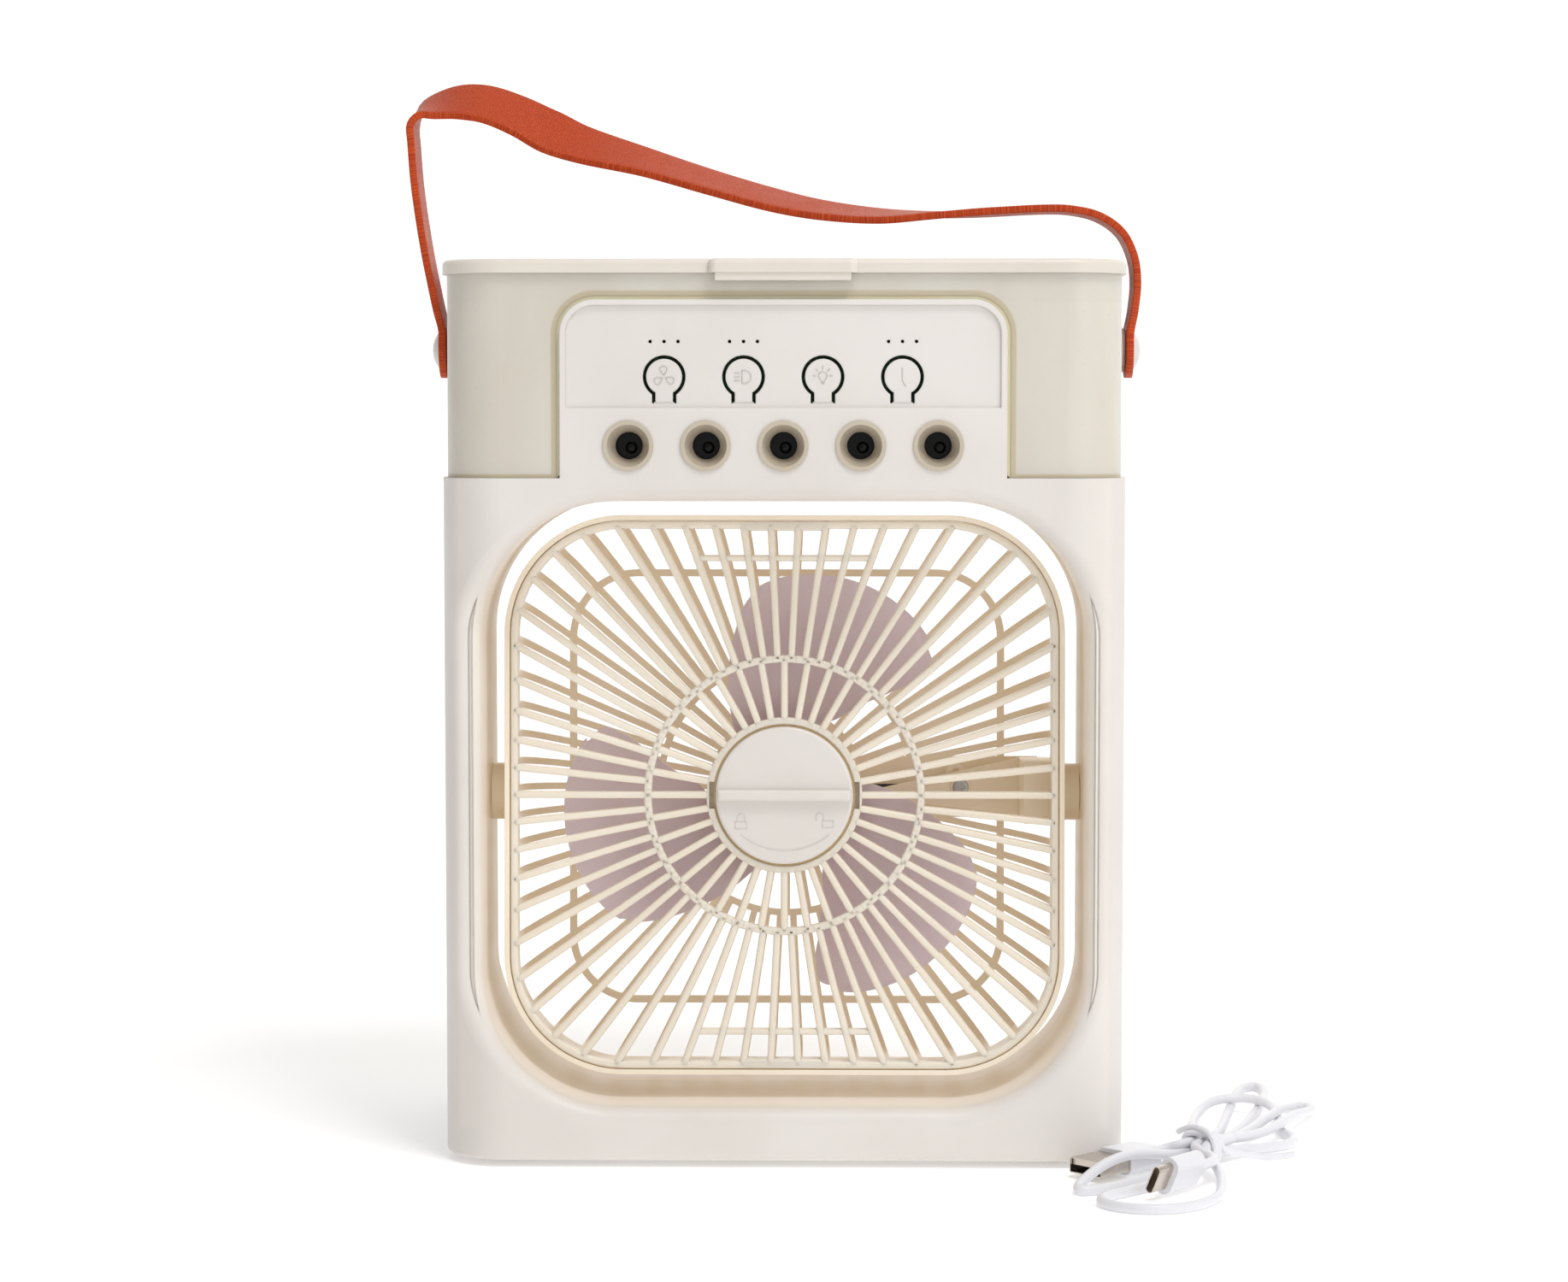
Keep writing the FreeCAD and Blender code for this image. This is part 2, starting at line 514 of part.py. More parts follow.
def make_tank():
    outer = plan_prism(TANK_HALF, TANK_FRONT, TANK_REAR, TANK_R, BODY_TOP, TANK_TOP)
    bay = panel_prism(PANEL_HALF + GROOVE, PANEL_TOP + GROOVE, PANEL_R + GROOVE,
                      TANK_FRONT - 1, TANK_BAY_Y, BODY_TOP - 1)
    bay_wall = panel_prism(PANEL_HALF + GROOVE + TANK_WALL, PANEL_TOP + GROOVE + TANK_WALL,
                           PANEL_R + GROOVE + TANK_WALL, TANK_FRONT, TANK_BAY_Y + TANK_WALL, BODY_TOP)
    inner = plan_prism(TANK_HALF - TANK_WALL, TANK_FRONT + TANK_WALL, TANK_REAR - TANK_WALL,
                       TANK_R - TANK_WALL, BODY_TOP + TANK_WALL, TANK_TOP)
    tank = outer.cut(inner.cut(bay_wall)).cut(bay)
    socket_y = TANK_BAY_Y + TANK_WALL
    for x in nozzle_places():
        socket = rod_y(WICK_R + WICK_CLEAR + WICK_SOCKET_WALL, socket_y - 0.5,
                       socket_y + WICK_SOCKET_L, x, NOZZLE_Z)
        tank = tank.fuse(socket.common(inner.fuse(outer)))
    for x in nozzle_places():
        tank = tank.cut(rod_y(WICK_R + WICK_CLEAR, TANK_BAY_Y - 1, socket_y + WICK_SOCKET_L + 1, x, NOZZLE_Z))
    for side in (-1, 1):
        boss = Part.makeCone(STUD_BOSS_R, STUD_BOSS_TIP_R, STUD_BOSS_OUT - TANK_HALF + 0.5,
                             V(side * (TANK_HALF - 0.5), 0, STUD_Z), V(side, 0, 0))
        post_hole = rod_x(STUD_POST_R, TANK_HALF - STUD_SINK, STUD_BOSS_OUT + 1, 0, STUD_Z)
        tank = tank.fuse(boss).cut(post_hole if side > 0 else mirror_x(post_hole))
    for low, high in knuckles("tank"):
        barrel = rod_x(HINGE_R, low, high, HINGE_Y, HINGE_Z)
        web = box(low, high, TANK_REAR - 0.5, HINGE_Y, HINGE_Z - HINGE_R, HINGE_Z - 0.2)
        tank = tank.fuse(barrel).fuse(web)
        tank = tank.cut(rod_x(HINGE_PIN_R, low - 1, high + 1, HINGE_Y, HINGE_Z))
    save("water_tank", tank.removeSplitter())

    lid = plan_prism(BODY_HALF, FRONT, BACK, CORNER_R, TANK_TOP, TANK_TOP + LID_T)
    tab = box(-TAB_HALF, TAB_HALF, FRONT - TAB_OUT, FRONT + 12, TANK_TOP, TANK_TOP + LID_T)
    tab = fillet(tab, 2.4, lambda p: p.y < FRONT - TAB_OUT + 0.01 and abs(abs(p.x) - TAB_HALF) < 0.01)
    lid = lid.fuse(tab).removeSplitter()
    top = TANK_TOP + LID_T
    lid = fillet(lid, LID_EDGE_R, lambda p: p.z > top - 0.01)
    grip = box(-TAB_HALF + 2, TAB_HALF - 2, FRONT - TAB_OUT + 0.4, FRONT, TANK_TOP - TAB_DROP, TANK_TOP)
    lid = lid.fuse(grip)
    skirt_half = TANK_HALF - TANK_WALL - SKIRT_GAP
    skirt_r = TANK_R - TANK_WALL - SKIRT_GAP
    skirt_front = TANK_FRONT + TANK_WALL + SKIRT_GAP
    skirt_rear = TANK_REAR - TANK_WALL - SKIRT_GAP
    skirt = plan_prism(skirt_half, skirt_front, skirt_rear, skirt_r, SKIRT_Z, TANK_TOP + LID_T - LID_SKIN)
    pan = plan_prism(skirt_half - SKIRT_T, skirt_front + SKIRT_T, skirt_rear - SKIRT_T,
                     skirt_r - SKIRT_T, SKIRT_Z - 1, TANK_TOP + LID_T - LID_SKIN)
    bay_half = PANEL_HALF + GROOVE + TANK_WALL + 2.5
    bay_clear = box(-bay_half, bay_half, FRONT, TANK_BAY_Y + TANK_WALL + 2.5, SKIRT_Z - 1,
                    PANEL_TOP + GROOVE + TANK_WALL + 0.6)
    lid = lid.fuse(skirt).cut(pan).cut(bay_clear)
    for low, high in knuckles("tank"):
        lid = lid.cut(rod_x(HINGE_R + 0.5, low - 0.3, high + 0.3, HINGE_Y, HINGE_Z))
    for low, high in knuckles("lid"):
        arm = box(low, high, BACK - 2, HINGE_Y, TANK_TOP, HINGE_Z + HINGE_R)
        lid = lid.fuse(arm).fuse(rod_x(HINGE_R, low, high, HINGE_Y, HINGE_Z))
        lid = lid.cut(rod_x(HINGE_PIN_R + RUN, low - 1, high + 1, HINGE_Y, HINGE_Z))
    save("tank_lid", lid.removeSplitter())

    pins = [rod_x(HINGE_PIN_R, side * HINGE_X - 1.5 * KNUCKLE_W + 0.3,
                  side * HINGE_X + 1.5 * KNUCKLE_W - 0.3, HINGE_Y, HINGE_Z) for side in (-1, 1)]
    save("lid_hinge_pins", Part.makeCompound(pins))

    seal_half = TANK_HALF - TANK_WALL - SEAL_GAP
    seal_r = TANK_R - TANK_WALL - SEAL_GAP
    z0, z1 = TANK_TOP - 2.9, TANK_TOP - 0.9
    seal = plan_prism(seal_half, TANK_FRONT + TANK_WALL + SEAL_GAP, TANK_REAR - TANK_WALL - SEAL_GAP,
                      seal_r, z0, z1)
    seal = seal.cut(plan_prism(skirt_half, skirt_front, skirt_rear, skirt_r, z0, z1))
    save("lid_seal", seal)

    for side, name in ((-1, "left"), (1, "right")):
        cap_x = STUD_BOSS_OUT + STRAP_T + 2 * STRAP_CLEAR
        post = rod_x(STUD_POST_R, TANK_HALF - STUD_SINK, cap_x, 0, STUD_Z)
        ball_r = (STUD_CAP_R ** 2 + STUD_CAP_H ** 2) / (2 * STUD_CAP_H)
        ball = Part.makeSphere(ball_r, V(cap_x + STUD_CAP_H - ball_r, 0, STUD_Z))
        dome = ball.common(rod_x(STUD_CAP_R, cap_x, cap_x + STUD_CAP_H + 1, 0, STUD_Z))
        stud = post.fuse(dome)
        save(f"strap_stud_{name}", stud if side > 0 else mirror_x(stud))


# The strap's middle line seen from the front, from the left stud over to the right one, with
# how high its face looks where it leans (zero where the strap is square to the view).
STRAP_LINE = [
    (-103.25, 244.0, 0.0), (-105.6, 254.0, 0.0), (-108.6, 269.0, 0.0), (-111.2, 287.0, 0.0),
    (-112.2, 300.0, 0.0), (-112.4, 305.5, 1.0), (-109.6, 309.8, 5.0), (-104.4, 311.6, 8.0),
    (-97.6, 312.6, 10.0), (-89.8, 311.8, 11.0), (-80.4, 308.3, 12.0), (-71.1, 303.6, 13.0),
    (-61.5, 299.8, 11.0), (-42.6, 294.6, 8.2), (-22.4, 288.4, 7.0), (-4.0, 283.2, 6.4),
    (10.5, 280.2, 5.2), (28.0, 278.4, 3.6), (44.5, 278.6, 1.2), (61.1, 279.4, 0.0),
    (77.7, 280.2, 0.0), (85.9, 279.9, 0.0), (94.0, 277.9, 0.0), (100.6, 273.2, 0.0),
    (104.2, 266.2, 0.0), (105.3, 258.5, 0.0), (104.4, 250.0, 0.0), (103.25, 243.0, 0.0),
]


def strap_sections():
    """Four corners of the strap at each station of its line."""
    sections = []
    count = len(STRAP_LINE)
    for i, (x, z, face) in enumerate(STRAP_LINE):
        before, after = STRAP_LINE[max(i - 1, 0)], STRAP_LINE[min(i + 1, count - 1)]
        along = V(after[0] - before[0], 0, after[1] - before[1]).normalize()
        if i in (0, count - 1):
            along = V(0, 0, 1 if i == 0 else -1)
        lean = math.asin(face / STRAP_W)
        across = V(0, math.cos(lean), math.sin(lean))
        across = (across - along * across.dot(along)).normalize()
        out = across.cross(along).normalize()
        middle = V(x, 0, z)
        half_w, half_t = across * (STRAP_W / 2), out * (STRAP_T / 2)
        sections.append([middle - half_w - half_t, middle + half_w - half_t,
                         middle + half_w + half_t, middle - half_w + half_t])
    return sections


def make_strap():
    sections = strap_sections()
    faces = []

    def quad(a, b, c, d):
        for three in ((a, b, c), (a, c, d)):
            faces.append(Part.Face(Part.makePolygon(list(three) + [three[0]])))

    for one, two in zip(sections, sections[1:]):
        for k in range(4):
            quad(one[k], one[(k + 1) % 4], two[(k + 1) % 4], two[k])
    quad(*sections[0])
    quad(*sections[-1])
    shell = Part.Shell(faces)
    band = Part.Solid(shell)
    if band.Volume < 0:
        band.reverse()
    ends = []
    for x_mid, z_top in ((STRAP_LINE[0][0], STRAP_LINE[0][1]), (STRAP_LINE[-1][0], STRAP_LINE[-1][1])):
        x0, x1 = x_mid - STRAP_T / 2, x_mid + STRAP_T / 2
        tip_z = STUD_Z + 0.6
        end = box(x0, x1, -STRAP_W / 2, STRAP_W / 2, tip_z, z_top)
        end = end.fuse(rod_x(STRAP_W / 2, x0, x1, 0, tip_z))
        ends.append(end.cut(rod_x(STUD_POST_R + RUN, x0 - 1, x1 + 1, 0, STUD_Z)))
    save("carry_strap", fuse([band] + ends))


# ---- Fan cage --------------------------------------------------------------------------
def star(count, width, r0, r1, y0, y1, start=0.0):
    """Radial bars round the Y axis."""
    bars = []
    for number in range(count):
        bar = box(r0, r1, y0, y1, -width / 2, width / 2)
        bar.rotate(V(0, 0, 0), Y, start + number * 360.0 / count)
        bars.append(bar)
    return bars


def square_ring(half, width, r, y0, y1):
    outer = tunnel_prism(half, -half, half, r, y0, y1)
    inner = tunnel_prism(half - width, -half + width, half - width, r - width, y0, y1)
    return outer.cut(inner)


def make_front_grille():
    half = CAGE_HALF - CAGE_WALL - GRILLE_GAP
    r = CAGE_R - CAGE_WALL - GRILLE_GAP
    y0 = CAGE_FRONT
    spoke_back = y0 + SPOKE_DEPTH
    frame = square_ring(half, FRAME_W, r, y0, y0 + FRAME_DEPTH)
    field = tunnel_prism(half - FRAME_W / 2, -half + FRAME_W / 2, half - FRAME_W / 2, r, y0, spoke_back)
    outer_bars = Part.makeCompound(star(OUTER_SPOKES, SPOKE_W, RING_R, 120, y0, spoke_back))
    inner_bars = star(INNER_SPOKES, SPOKE_W, HUB_IN_R + 0.5, RING_R, y0, spoke_back)
    outer_bars = outer_bars.common(field).Solids
    ring = tube_y(RING_R + RING_W / 2, RING_R - RING_W / 2, y0, spoke_back)
    hub = tube_y(HUB_OUT_R, HUB_IN_R, y0, spoke_back + HUB_PLATE_T)
    plate = tube_y(HUB_OUT_R, CAP_POST_R + RUN, spoke_back, spoke_back + HUB_PLATE_T)
    chords = [box(-CHORD_HALF, CHORD_HALF, y0 + CHORD_SET_BACK, spoke_back, z - CHORD_W / 2, z + CHORD_W / 2)
              for z in (-CHORD_Z, CHORD_Z)]
    clips = [box(-CLIP_HALF, CLIP_HALF, y0 + CLIP_SET_BACK, y0 + FRAME_DEPTH, z0, z0 + CLIP_T)
             for z0 in (-half + CLIP_INSET, half - CLIP_INSET - CLIP_T)]
    grille = fuse([frame, ring, hub, plate] + outer_bars + inner_bars + chords + clips)
    for side in (-1, 1):
        x0, x1 = sorted((side * (HUB_IN_R - 0.5), side * (HUB_IN_R + NOTCH_DEPTH)))
        grille = grille.cut(box(x0, x1, y0 - 1, spoke_back + HUB_PLATE_T + 1, -NOTCH_HALF, NOTCH_HALF))
    save("front_grille", seat_cage(grille))


def cage_block(inset, back):
    """The cage's outer form, made smaller by an inset, with its back edge rounded."""
    half, r = CAGE_HALF - inset, CAGE_R - inset
    block = tunnel_prism(half, -half, half, r, CAGE_FRONT, back)
    return fillet(block, CAGE_BACK_R - inset, lambda p: p.y > back - 0.01)


def cage_shell():
    return cage_block(0, CAGE_BACK).cut(cage_block(CAGE_WALL, CAGE_BACK - REAR_T))


def make_rear_grille():
    shell = cage_shell()
    wall = shell.common(box(-100, 100, CAGE_FRONT - 1, CAGE_SOLID_TO, -100, 100))
    back = shell.common(box(-100, 100, CAGE_SOLID_TO - 0.5, CAGE_BACK + 1, -100, 100))
    bars = Part.makeCompound(star(OUTER_SPOKES, REAR_SPOKE_W, REAR_RING_R, 125,
                                  CAGE_SOLID_TO - 0.5, CAGE_BACK + 1))
    spokes = bars.common(back).Solids
    y0 = CAGE_BACK - REAR_T
    inner = star(INNER_SPOKES, REAR_SPOKE_W, MOUNT_R - 1, REAR_RING_R, y0, CAGE_BACK)
    ring = tube_y(REAR_RING_R + 1, REAR_RING_R - 1, y0, CAGE_BACK)
    square = square_ring(REAR_SQUARE_HALF, REAR_SQUARE_W, REAR_SQUARE_R, y0, CAGE_BACK)
    mount = rod_y(MOUNT_R, y0, CAGE_BACK)
    cup = tube_y(MOTOR_R + 1.6, MOTOR_R + 0.1, MOTOR_FRONT + 4, y0)
    duct = box(MOTOR_R + 1, CAGE_HALF - CAGE_WALL + 0.5, y0, CAGE_BACK, -DUCT_HALF, DUCT_HALF)
    duct = duct.common(back.fuse(rod_y(REAR_SQUARE_HALF, y0, CAGE_BACK)))
    boss = rod_y(3.0, y0 - DUCT_DEPTH + DUCT_WALL, y0, SCREW_X, SCREW_Z)
    grille = fuse([wall, ring, square, mount, cup, duct, boss] + spokes + inner)
    for side in (-1, 1):
        seat = rod_x(TRUNNION_SHAFT_R, CAGE_HALF - CAGE_WALL - 1, CAGE_HALF + 1)
        grille = grille.cut(seat if side > 0 else mirror_x(seat))
    for x, z in motor_screw_places():
        grille = grille.cut(rod_y(1.6, y0 - 1, CAGE_BACK + 1, x, z))
    grille = grille.cut(rod_y(1.2, y0 - DUCT_DEPTH, y0 + 1, SCREW_X, SCREW_Z))
    grille = grille.cut(box(MOTOR_R - 1, MOTOR_R + 3, y0 - DUCT_DEPTH + DUCT_WALL, y0, -2, 2))
    save("rear_grille", seat_cage(grille.removeSplitter()))


SCREW_X, SCREW_Z = 52.0, 4.6


def motor_screw_places():
    return [(0.0, 9.0), (0.0, -9.0)]


def make_lead_cover():
    """A shallow trough over the motor lead, open to the back and ended at the side wall."""
    y1 = CAGE_BACK - REAR_T
    y0 = y1 - DUCT_DEPTH
    x0, x1 = MOTOR_R + 3.0, CAGE_HALF - CAGE_WALL - CAGE_BACK_R + 3.0
    cover = box(x0, x1, y0, y1, -DUCT_HALF, DUCT_HALF)
    cover = cover.cut(box(x0 - 1, x1 + 1, y0 + DUCT_WALL, y1, -DUCT_HALF + DUCT_WALL,
                          DUCT_HALF - DUCT_WALL))
    riser_x0, riser_x1 = x1 - DUCT_WALL, CAGE_HALF - CAGE_WALL - 0.3
    riser = box(riser_x0, riser_x1, -6.0, y0 + DUCT_WALL, -DUCT_HALF, DUCT_HALF)
    riser = riser.cut(box(riser_x0 + DUCT_WALL, riser_x1 + 1, -7, y0 + DUCT_WALL + 1,
                          -DUCT_HALF + DUCT_WALL, DUCT_HALF - DUCT_WALL))
    riser = riser.cut(rod_x(TRUNNION_SHAFT_R + 0.4, riser_x1 - 5, riser_x1 + 1))
    cover = cover.fuse(riser).common(cage_block(CAGE_WALL + 0.2, y1))
    pad = rod_y(4.6, y0 - 0.8, y0 + DUCT_WALL, SCREW_X, SCREW_Z)
    cover = cover.fuse(pad).cut(rod_y(1.5, y0 - 2, y0 + DUCT_WALL + 1, SCREW_X, SCREW_Z))
    save("lead_cover", seat_cage(cover.removeSplitter()))
    head = rod_y(2.8, y0 - 2.2, y0 - 0.8, SCREW_X, SCREW_Z)
    shank = rod_y(1.2, y0 - 0.8, y1, SCREW_X, SCREW_Z)
    screw = head.fuse(shank)
    for w, h in ((1.9, 0.35), (0.35, 1.9)):
        screw = screw.cut(box(SCREW_X - w, SCREW_X + w, y0 - 3, y0 - 1.5, SCREW_Z - h, SCREW_Z + h))
    save("lead_cover_screw", seat_cage(screw))


def make_motor():
    back_plate = MOTOR_BACK - 1.5
    can = rod_y(MOTOR_R, MOTOR_FRONT, back_plate)
    can = can.cut(rod_y(MOTOR_R - MOTOR_WALL, MOTOR_FRONT + BEARING_W, back_plate))
    can = can.cut(rod_y(BEARING_R, MOTOR_FRONT - 1, MOTOR_FRONT + BEARING_W + 1))
    save("motor_can", seat_cage(can))
    end = rod_y(MOTOR_R, back_plate, MOTOR_BACK)
    end = end.fuse(tube_y(BEARING_R + 1.5, BEARING_R, back_plate - BEARING_W, back_plate))
    for x, z in motor_screw_places():
        end = end.cut(rod_y(1.2, back_plate - 1, MOTOR_BACK + 1, x, z))
    save("motor_end_cap", seat_cage(end))
    bearings = [tube_y(BEARING_R, SHAFT_R + RUN, y, y + BEARING_W)
                for y in (MOTOR_FRONT, back_plate - BEARING_W)]
    save("motor_bearings", seat_cage(Part.makeCompound(bearings)))
    stator = tube_y(MOTOR_R - MOTOR_WALL, STATOR_R, MOTOR_FRONT + 4, back_plate - 4)
    save("motor_stator", seat_cage(stator))
    rotor = tube_y(ROTOR_R, SHAFT_R, MOTOR_FRONT + 4.5, back_plate - 4.5)
    save("rotor", seat_cage(rotor))
    save("motor_shaft", seat_cage(rod_y(SHAFT_R, HUB_FRONT + HUB_SKIN, back_plate - 0.2)))
    screws = []
    for x, z in motor_screw_places():
        head = rod_y(2.6, CAGE_BACK, CAGE_BACK + 1.6, x, z)
        screws.append(head.fuse(rod_y(1.2, back_plate, CAGE_BACK, x, z)))
    save("motor_screws", seat_cage(Part.makeCompound(screws)))


# One blade seen from the front: its two edges as (radius, degrees), the tip between them.
LEAD_EDGE = [(20.5, 12.0), (30.0, 3.0), (41.0, -6.0), (50.0, -12.5), (57.0, -17.5), (62.0, -22.5)]
TAIL_EDGE = [(20.5, -58.0), (30.0, -68.0), (41.0, -75.5), (50.0, -79.5), (57.0, -80.0), (62.0, -75.0)]
BLADE_LEAD_Y, BLADE_TAIL_Y = -12.0, 0.0


def blade_point(u, v, offset):
    """u runs from hub to tip, v from the leading to the trailing edge."""
    place = u * (len(LEAD_EDGE) - 1)
    i = min(int(place), len(LEAD_EDGE) - 2)
    t = place - i
    r = LEAD_EDGE[i][0] * (1 - t) + LEAD_EDGE[i + 1][0] * t
    a0 = LEAD_EDGE[i][1] * (1 - t) + LEAD_EDGE[i + 1][1] * t
    a1 = TAIL_EDGE[i][1] * (1 - t) + TAIL_EDGE[i + 1][1] * t
    reach = r + (IMPELLER_R - LEAD_EDGE[-1][0]) * (u ** 3) * math.sin(math.pi * v) ** 0.7
    angle = math.radians(a0 + (a1 - a0) * v)
    camber = 2.0 * math.sin(math.pi * v)
    flat = 1.0 - 0.35 * u
    middle = (BLADE_LEAD_Y + BLADE_TAIL_Y) / 2
    y = middle + (BLADE_LEAD_Y + (BLADE_TAIL_Y - BLADE_LEAD_Y) * v - middle) * flat - camber
    return V(reach * math.cos(angle), y + offset, reach * math.sin(angle))


def blade():
    """A thin curved plate, made of two skins and the walls between them."""
    steps = 10
    grid = [i / steps for i in range(steps + 1)]
    skins = []
    for offset in (-BLADE_T / 2, BLADE_T / 2):
        skin = Part.BSplineSurface()
        skin.interpolate([[blade_point(u, v, offset) for v in grid] for u in grid])
        skins.append(skin.toShape())
    faces = list(skins)
    for one, two in zip(skins[0].Edges, skins[1].Edges):
        faces.append(Part.makeRuledSurface(one, two))
    shell = Part.makeShell(faces)
    shell.sewShape()
    solid = Part.Solid(shell)
    if solid.Volume < 0:
        solid.reverse()
    return solid


def make_impeller():
    hub = rod_y(IMPELLER_HUB_R, HUB_FRONT, HUB_BACK)
    hub = fillet(hub, 2.0, lambda p: p.y < HUB_FRONT + 0.01)
    hub = hub.cut(rod_y(IMPELLER_HUB_R - HUB_SKIN, HUB_FRONT + HUB_SKIN, HUB_BACK))
    hub = hub.fuse(rod_y(4.0, HUB_FRONT + HUB_SKIN, HUB_BACK - 2))
    one = blade()
    blades = []
    for number in range(BLADES):
        turned = one.copy()
        turned.rotate(V(0, 0, 0), Y, number * 360.0 / BLADES)
        blades.append(turned)
    wheel = fuse([hub] + blades)
    wheel = wheel.cut(rod_y(IMPELLER_HUB_R - HUB_SKIN, HUB_FRONT + HUB_SKIN, HUB_BACK).cut(
        rod_y(4.0, HUB_FRONT, HUB_BACK)))
    wheel = wheel.cut(rod_y(SHAFT_R, HUB_FRONT + HUB_SKIN, HUB_BACK))
    save("impeller", seat_cage(wheel))


def make_cap():
    y1 = CAGE_FRONT + SPOKE_DEPTH - 0.3
    y0 = CAGE_FRONT - CAP_PROUD
    disc = rod_y(CAP_R, y0, y1)
    disc = fillet(disc, 1.0, lambda p: p.y < y0 + 0.01)
    ridge = box(-CAP_R + 0.6, CAP_R - 0.6, y0 - RIDGE_H, y0 + 0.5, -RIDGE_W / 2, RIDGE_W / 2)
    ridge = fillet(ridge, 1.0, lambda p: p.y < y0 - RIDGE_H + 0.01)
    plate_back = CAGE_FRONT + SPOKE_DEPTH + HUB_PLATE_T
    post = rod_y(CAP_POST_R, y1, plate_back + 0.3)
    catch = rod_y(CAP_POST_R + 0.9, plate_back + 0.3, plate_back + 1.3)
    save("lock_cap", seat_cage(fuse([disc, ridge, post, catch])))


def make_trunnions():
    for side, name in ((-1, "left"), (1, "right")):
        flange_end = TUNNEL_HALF_W - TRUNNION_GAP
        shape = rod_x(TRUNNION_R, CAGE_HALF, flange_end)
        shape = shape.fuse(rod_x(TRUNNION_SHAFT_R, CAGE_HALF - CAGE_WALL, BUSH_END + 0.2))
        shape = shape.cut(rod_x(TRUNNION_BORE_R, CAGE_HALF - CAGE_WALL - 1, BUSH_END + 1))
        shape = shape.removeSplitter()
        save(f"trunnion_{name}", seat_cage(shape if side > 0 else mirror_x(shape)))
        bush = rod_x(BUSH_R, TUNNEL_HALF_W, BUSH_END).fuse(
            rod_x(BUSH_FLANGE_R, TUNNEL_HALF_W + TUNNEL_WALL,
                  TUNNEL_HALF_W + TUNNEL_WALL + BUSH_FLANGE_T))
        bush = bush.cut(rod_x(TRUNNION_SHAFT_R + RUN, TUNNEL_HALF_W - 1, BUSH_END + 1))
        bush = bush.removeSplitter()
        bush.translate(V(0, SPLIT, TUNNEL_Z))
        save(f"pivot_bush_{name}", bush if side > 0 else mirror_x(bush))

    meet = TUNNEL_HALF_W + 1.5
    lead_y = CAGE_BACK - REAR_T - LEAD_R - 0.7
    wall_in = CAGE_HALF - CAGE_WALL
    rise_x = wall_in - 5.0
    inside = [V(meet, 0, 0), V(rise_x, 0, 0), V(rise_x, lead_y - 5.9, 0),
              V(rise_x - 3.6, lead_y, 0), V(MOTOR_R + 0.4, lead_y, 0)]
    save("motor_lead", seat_cage(lead(inside, LEAD_R, 2.6)))
    wall_x = BODY_HALF - WALL - LEAD_R - 1.2
    top_z = DECK - LEAD_R - 0.5
    outside = [V(meet + LEAD_SPLIT, SPLIT, TUNNEL_Z), V(wall_x, SPLIT, TUNNEL_Z),
               V(wall_x, SPLIT, 184.0), V(84.0, SPLIT, top_z), V(66.0, LEAD_UP_Y, top_z),
               V(LEAD_UP_X, LEAD_UP_Y, top_z), V(LEAD_UP_X, LEAD_UP_Y, NOZZLE_Z + SEAL_R)]
    save("housing_lead", lead(outside, LEAD_R, 2.2))


# ---- USB socket and the loose lead -----------------------------------------------------
def make_socket():
    y1 = BACK - 5.0
    y0 = y1 - SOCKET_L
    shell = box(SOCKET_X - SOCKET_W / 2, SOCKET_X + SOCKET_W / 2, y0, y1,
                SOCKET_Z - SOCKET_H / 2, SOCKET_Z + SOCKET_H / 2)
    shell = shell.cut(box(SOCKET_X - 4.2, SOCKET_X + 4.2, y0 + 1.0, y1, SOCKET_Z - 1.3, SOCKET_Z + 1.3))
    tongue = box(SOCKET_X - 3.3, SOCKET_X + 3.3, y0 + 0.8, y1 - 1.0, SOCKET_Z - 0.35, SOCKET_Z + 0.35)
    save("usb_socket", shell.fuse(tongue))
    board = box(SOCKET_X - 4.4, SOCKET_X + 4.4, BACK - 26, BACK - 14.2, SOCKET_Z - 1.0, SOCKET_Z + 0.2)
    save("usb_board", board)


# The hank lies on the floor: its outline from the tie round the near loops and back, and
# then round the far loops. The plug at its near end lies in a well between the strands.
TIE_AT, TIE_TURN = V(122.2, -51.0, 0), -40.0
HANK_NEAR = [(108.9, -57.5), (109.8, -60.8), (100.1, -71.1), (84.0, -87.0), (80.5, -91.5),
             (83.0, -96.0), (91.0, -101.0), (98.0, -108.0), (106.0, -111.0), (115.0, -108.5),
             (124.5, -98.0), (126.5, -84.0), (126.8, -58.0)]
HANK_FAR = [(130.5, -47.0), (140.0, -38.0), (150.0, -34.0), (156.5, -24.0), (158.0, -6.0),
            (166.0, 27.0), (164.0, 34.0), (158.0, 36.0), (156.5, 60.0), (153.0, 67.0),
            (147.0, 65.0), (132.0, 30.0), (122.5, 2.0), (119.5, -42.0), (111.8, -50.1)]
HANK_H = 8.0
NECK_HALF = 2.6
TIE_W = 2.0
WAIST_HALF, WAIST_TOP = 5.2, 7.4
TAIL = [(140.0, -47.4), (151.0, -40.5)]
PLUG_A_AT, PLUG_A_TURN = V(95.5, -65.2, 3.9), 45.0
PLUG_C_AT, PLUG_C_TURN, PLUG_C_ROLL = V(107.7, -96.6, 6.3), 231.5, 66.0
SHELL_A, SHELL_A_W, SHELL_A_H = 12.5, 12.0, 4.5
MOULD_A, MOULD_A_W, MOULD_A_H = 13.5, 13.0, 6.8
SHELL_C, SHELL_C_W, SHELL_C_H = 6.6, 8.34, 2.56
MOULD_C, MOULD_C_W, MOULD_C_H = 14.0, 11.0, 5.8
RELIEF = 3.8


def rounded_bar(x0, x1, width, height, r):
    wire = rounded_wire(-width / 2, width / 2, -height / 2, height / 2, r, lambda u, v: V(x0, u, v))
    return Part.Face(wire).extrude(V(x1 - x0, 0, 0))


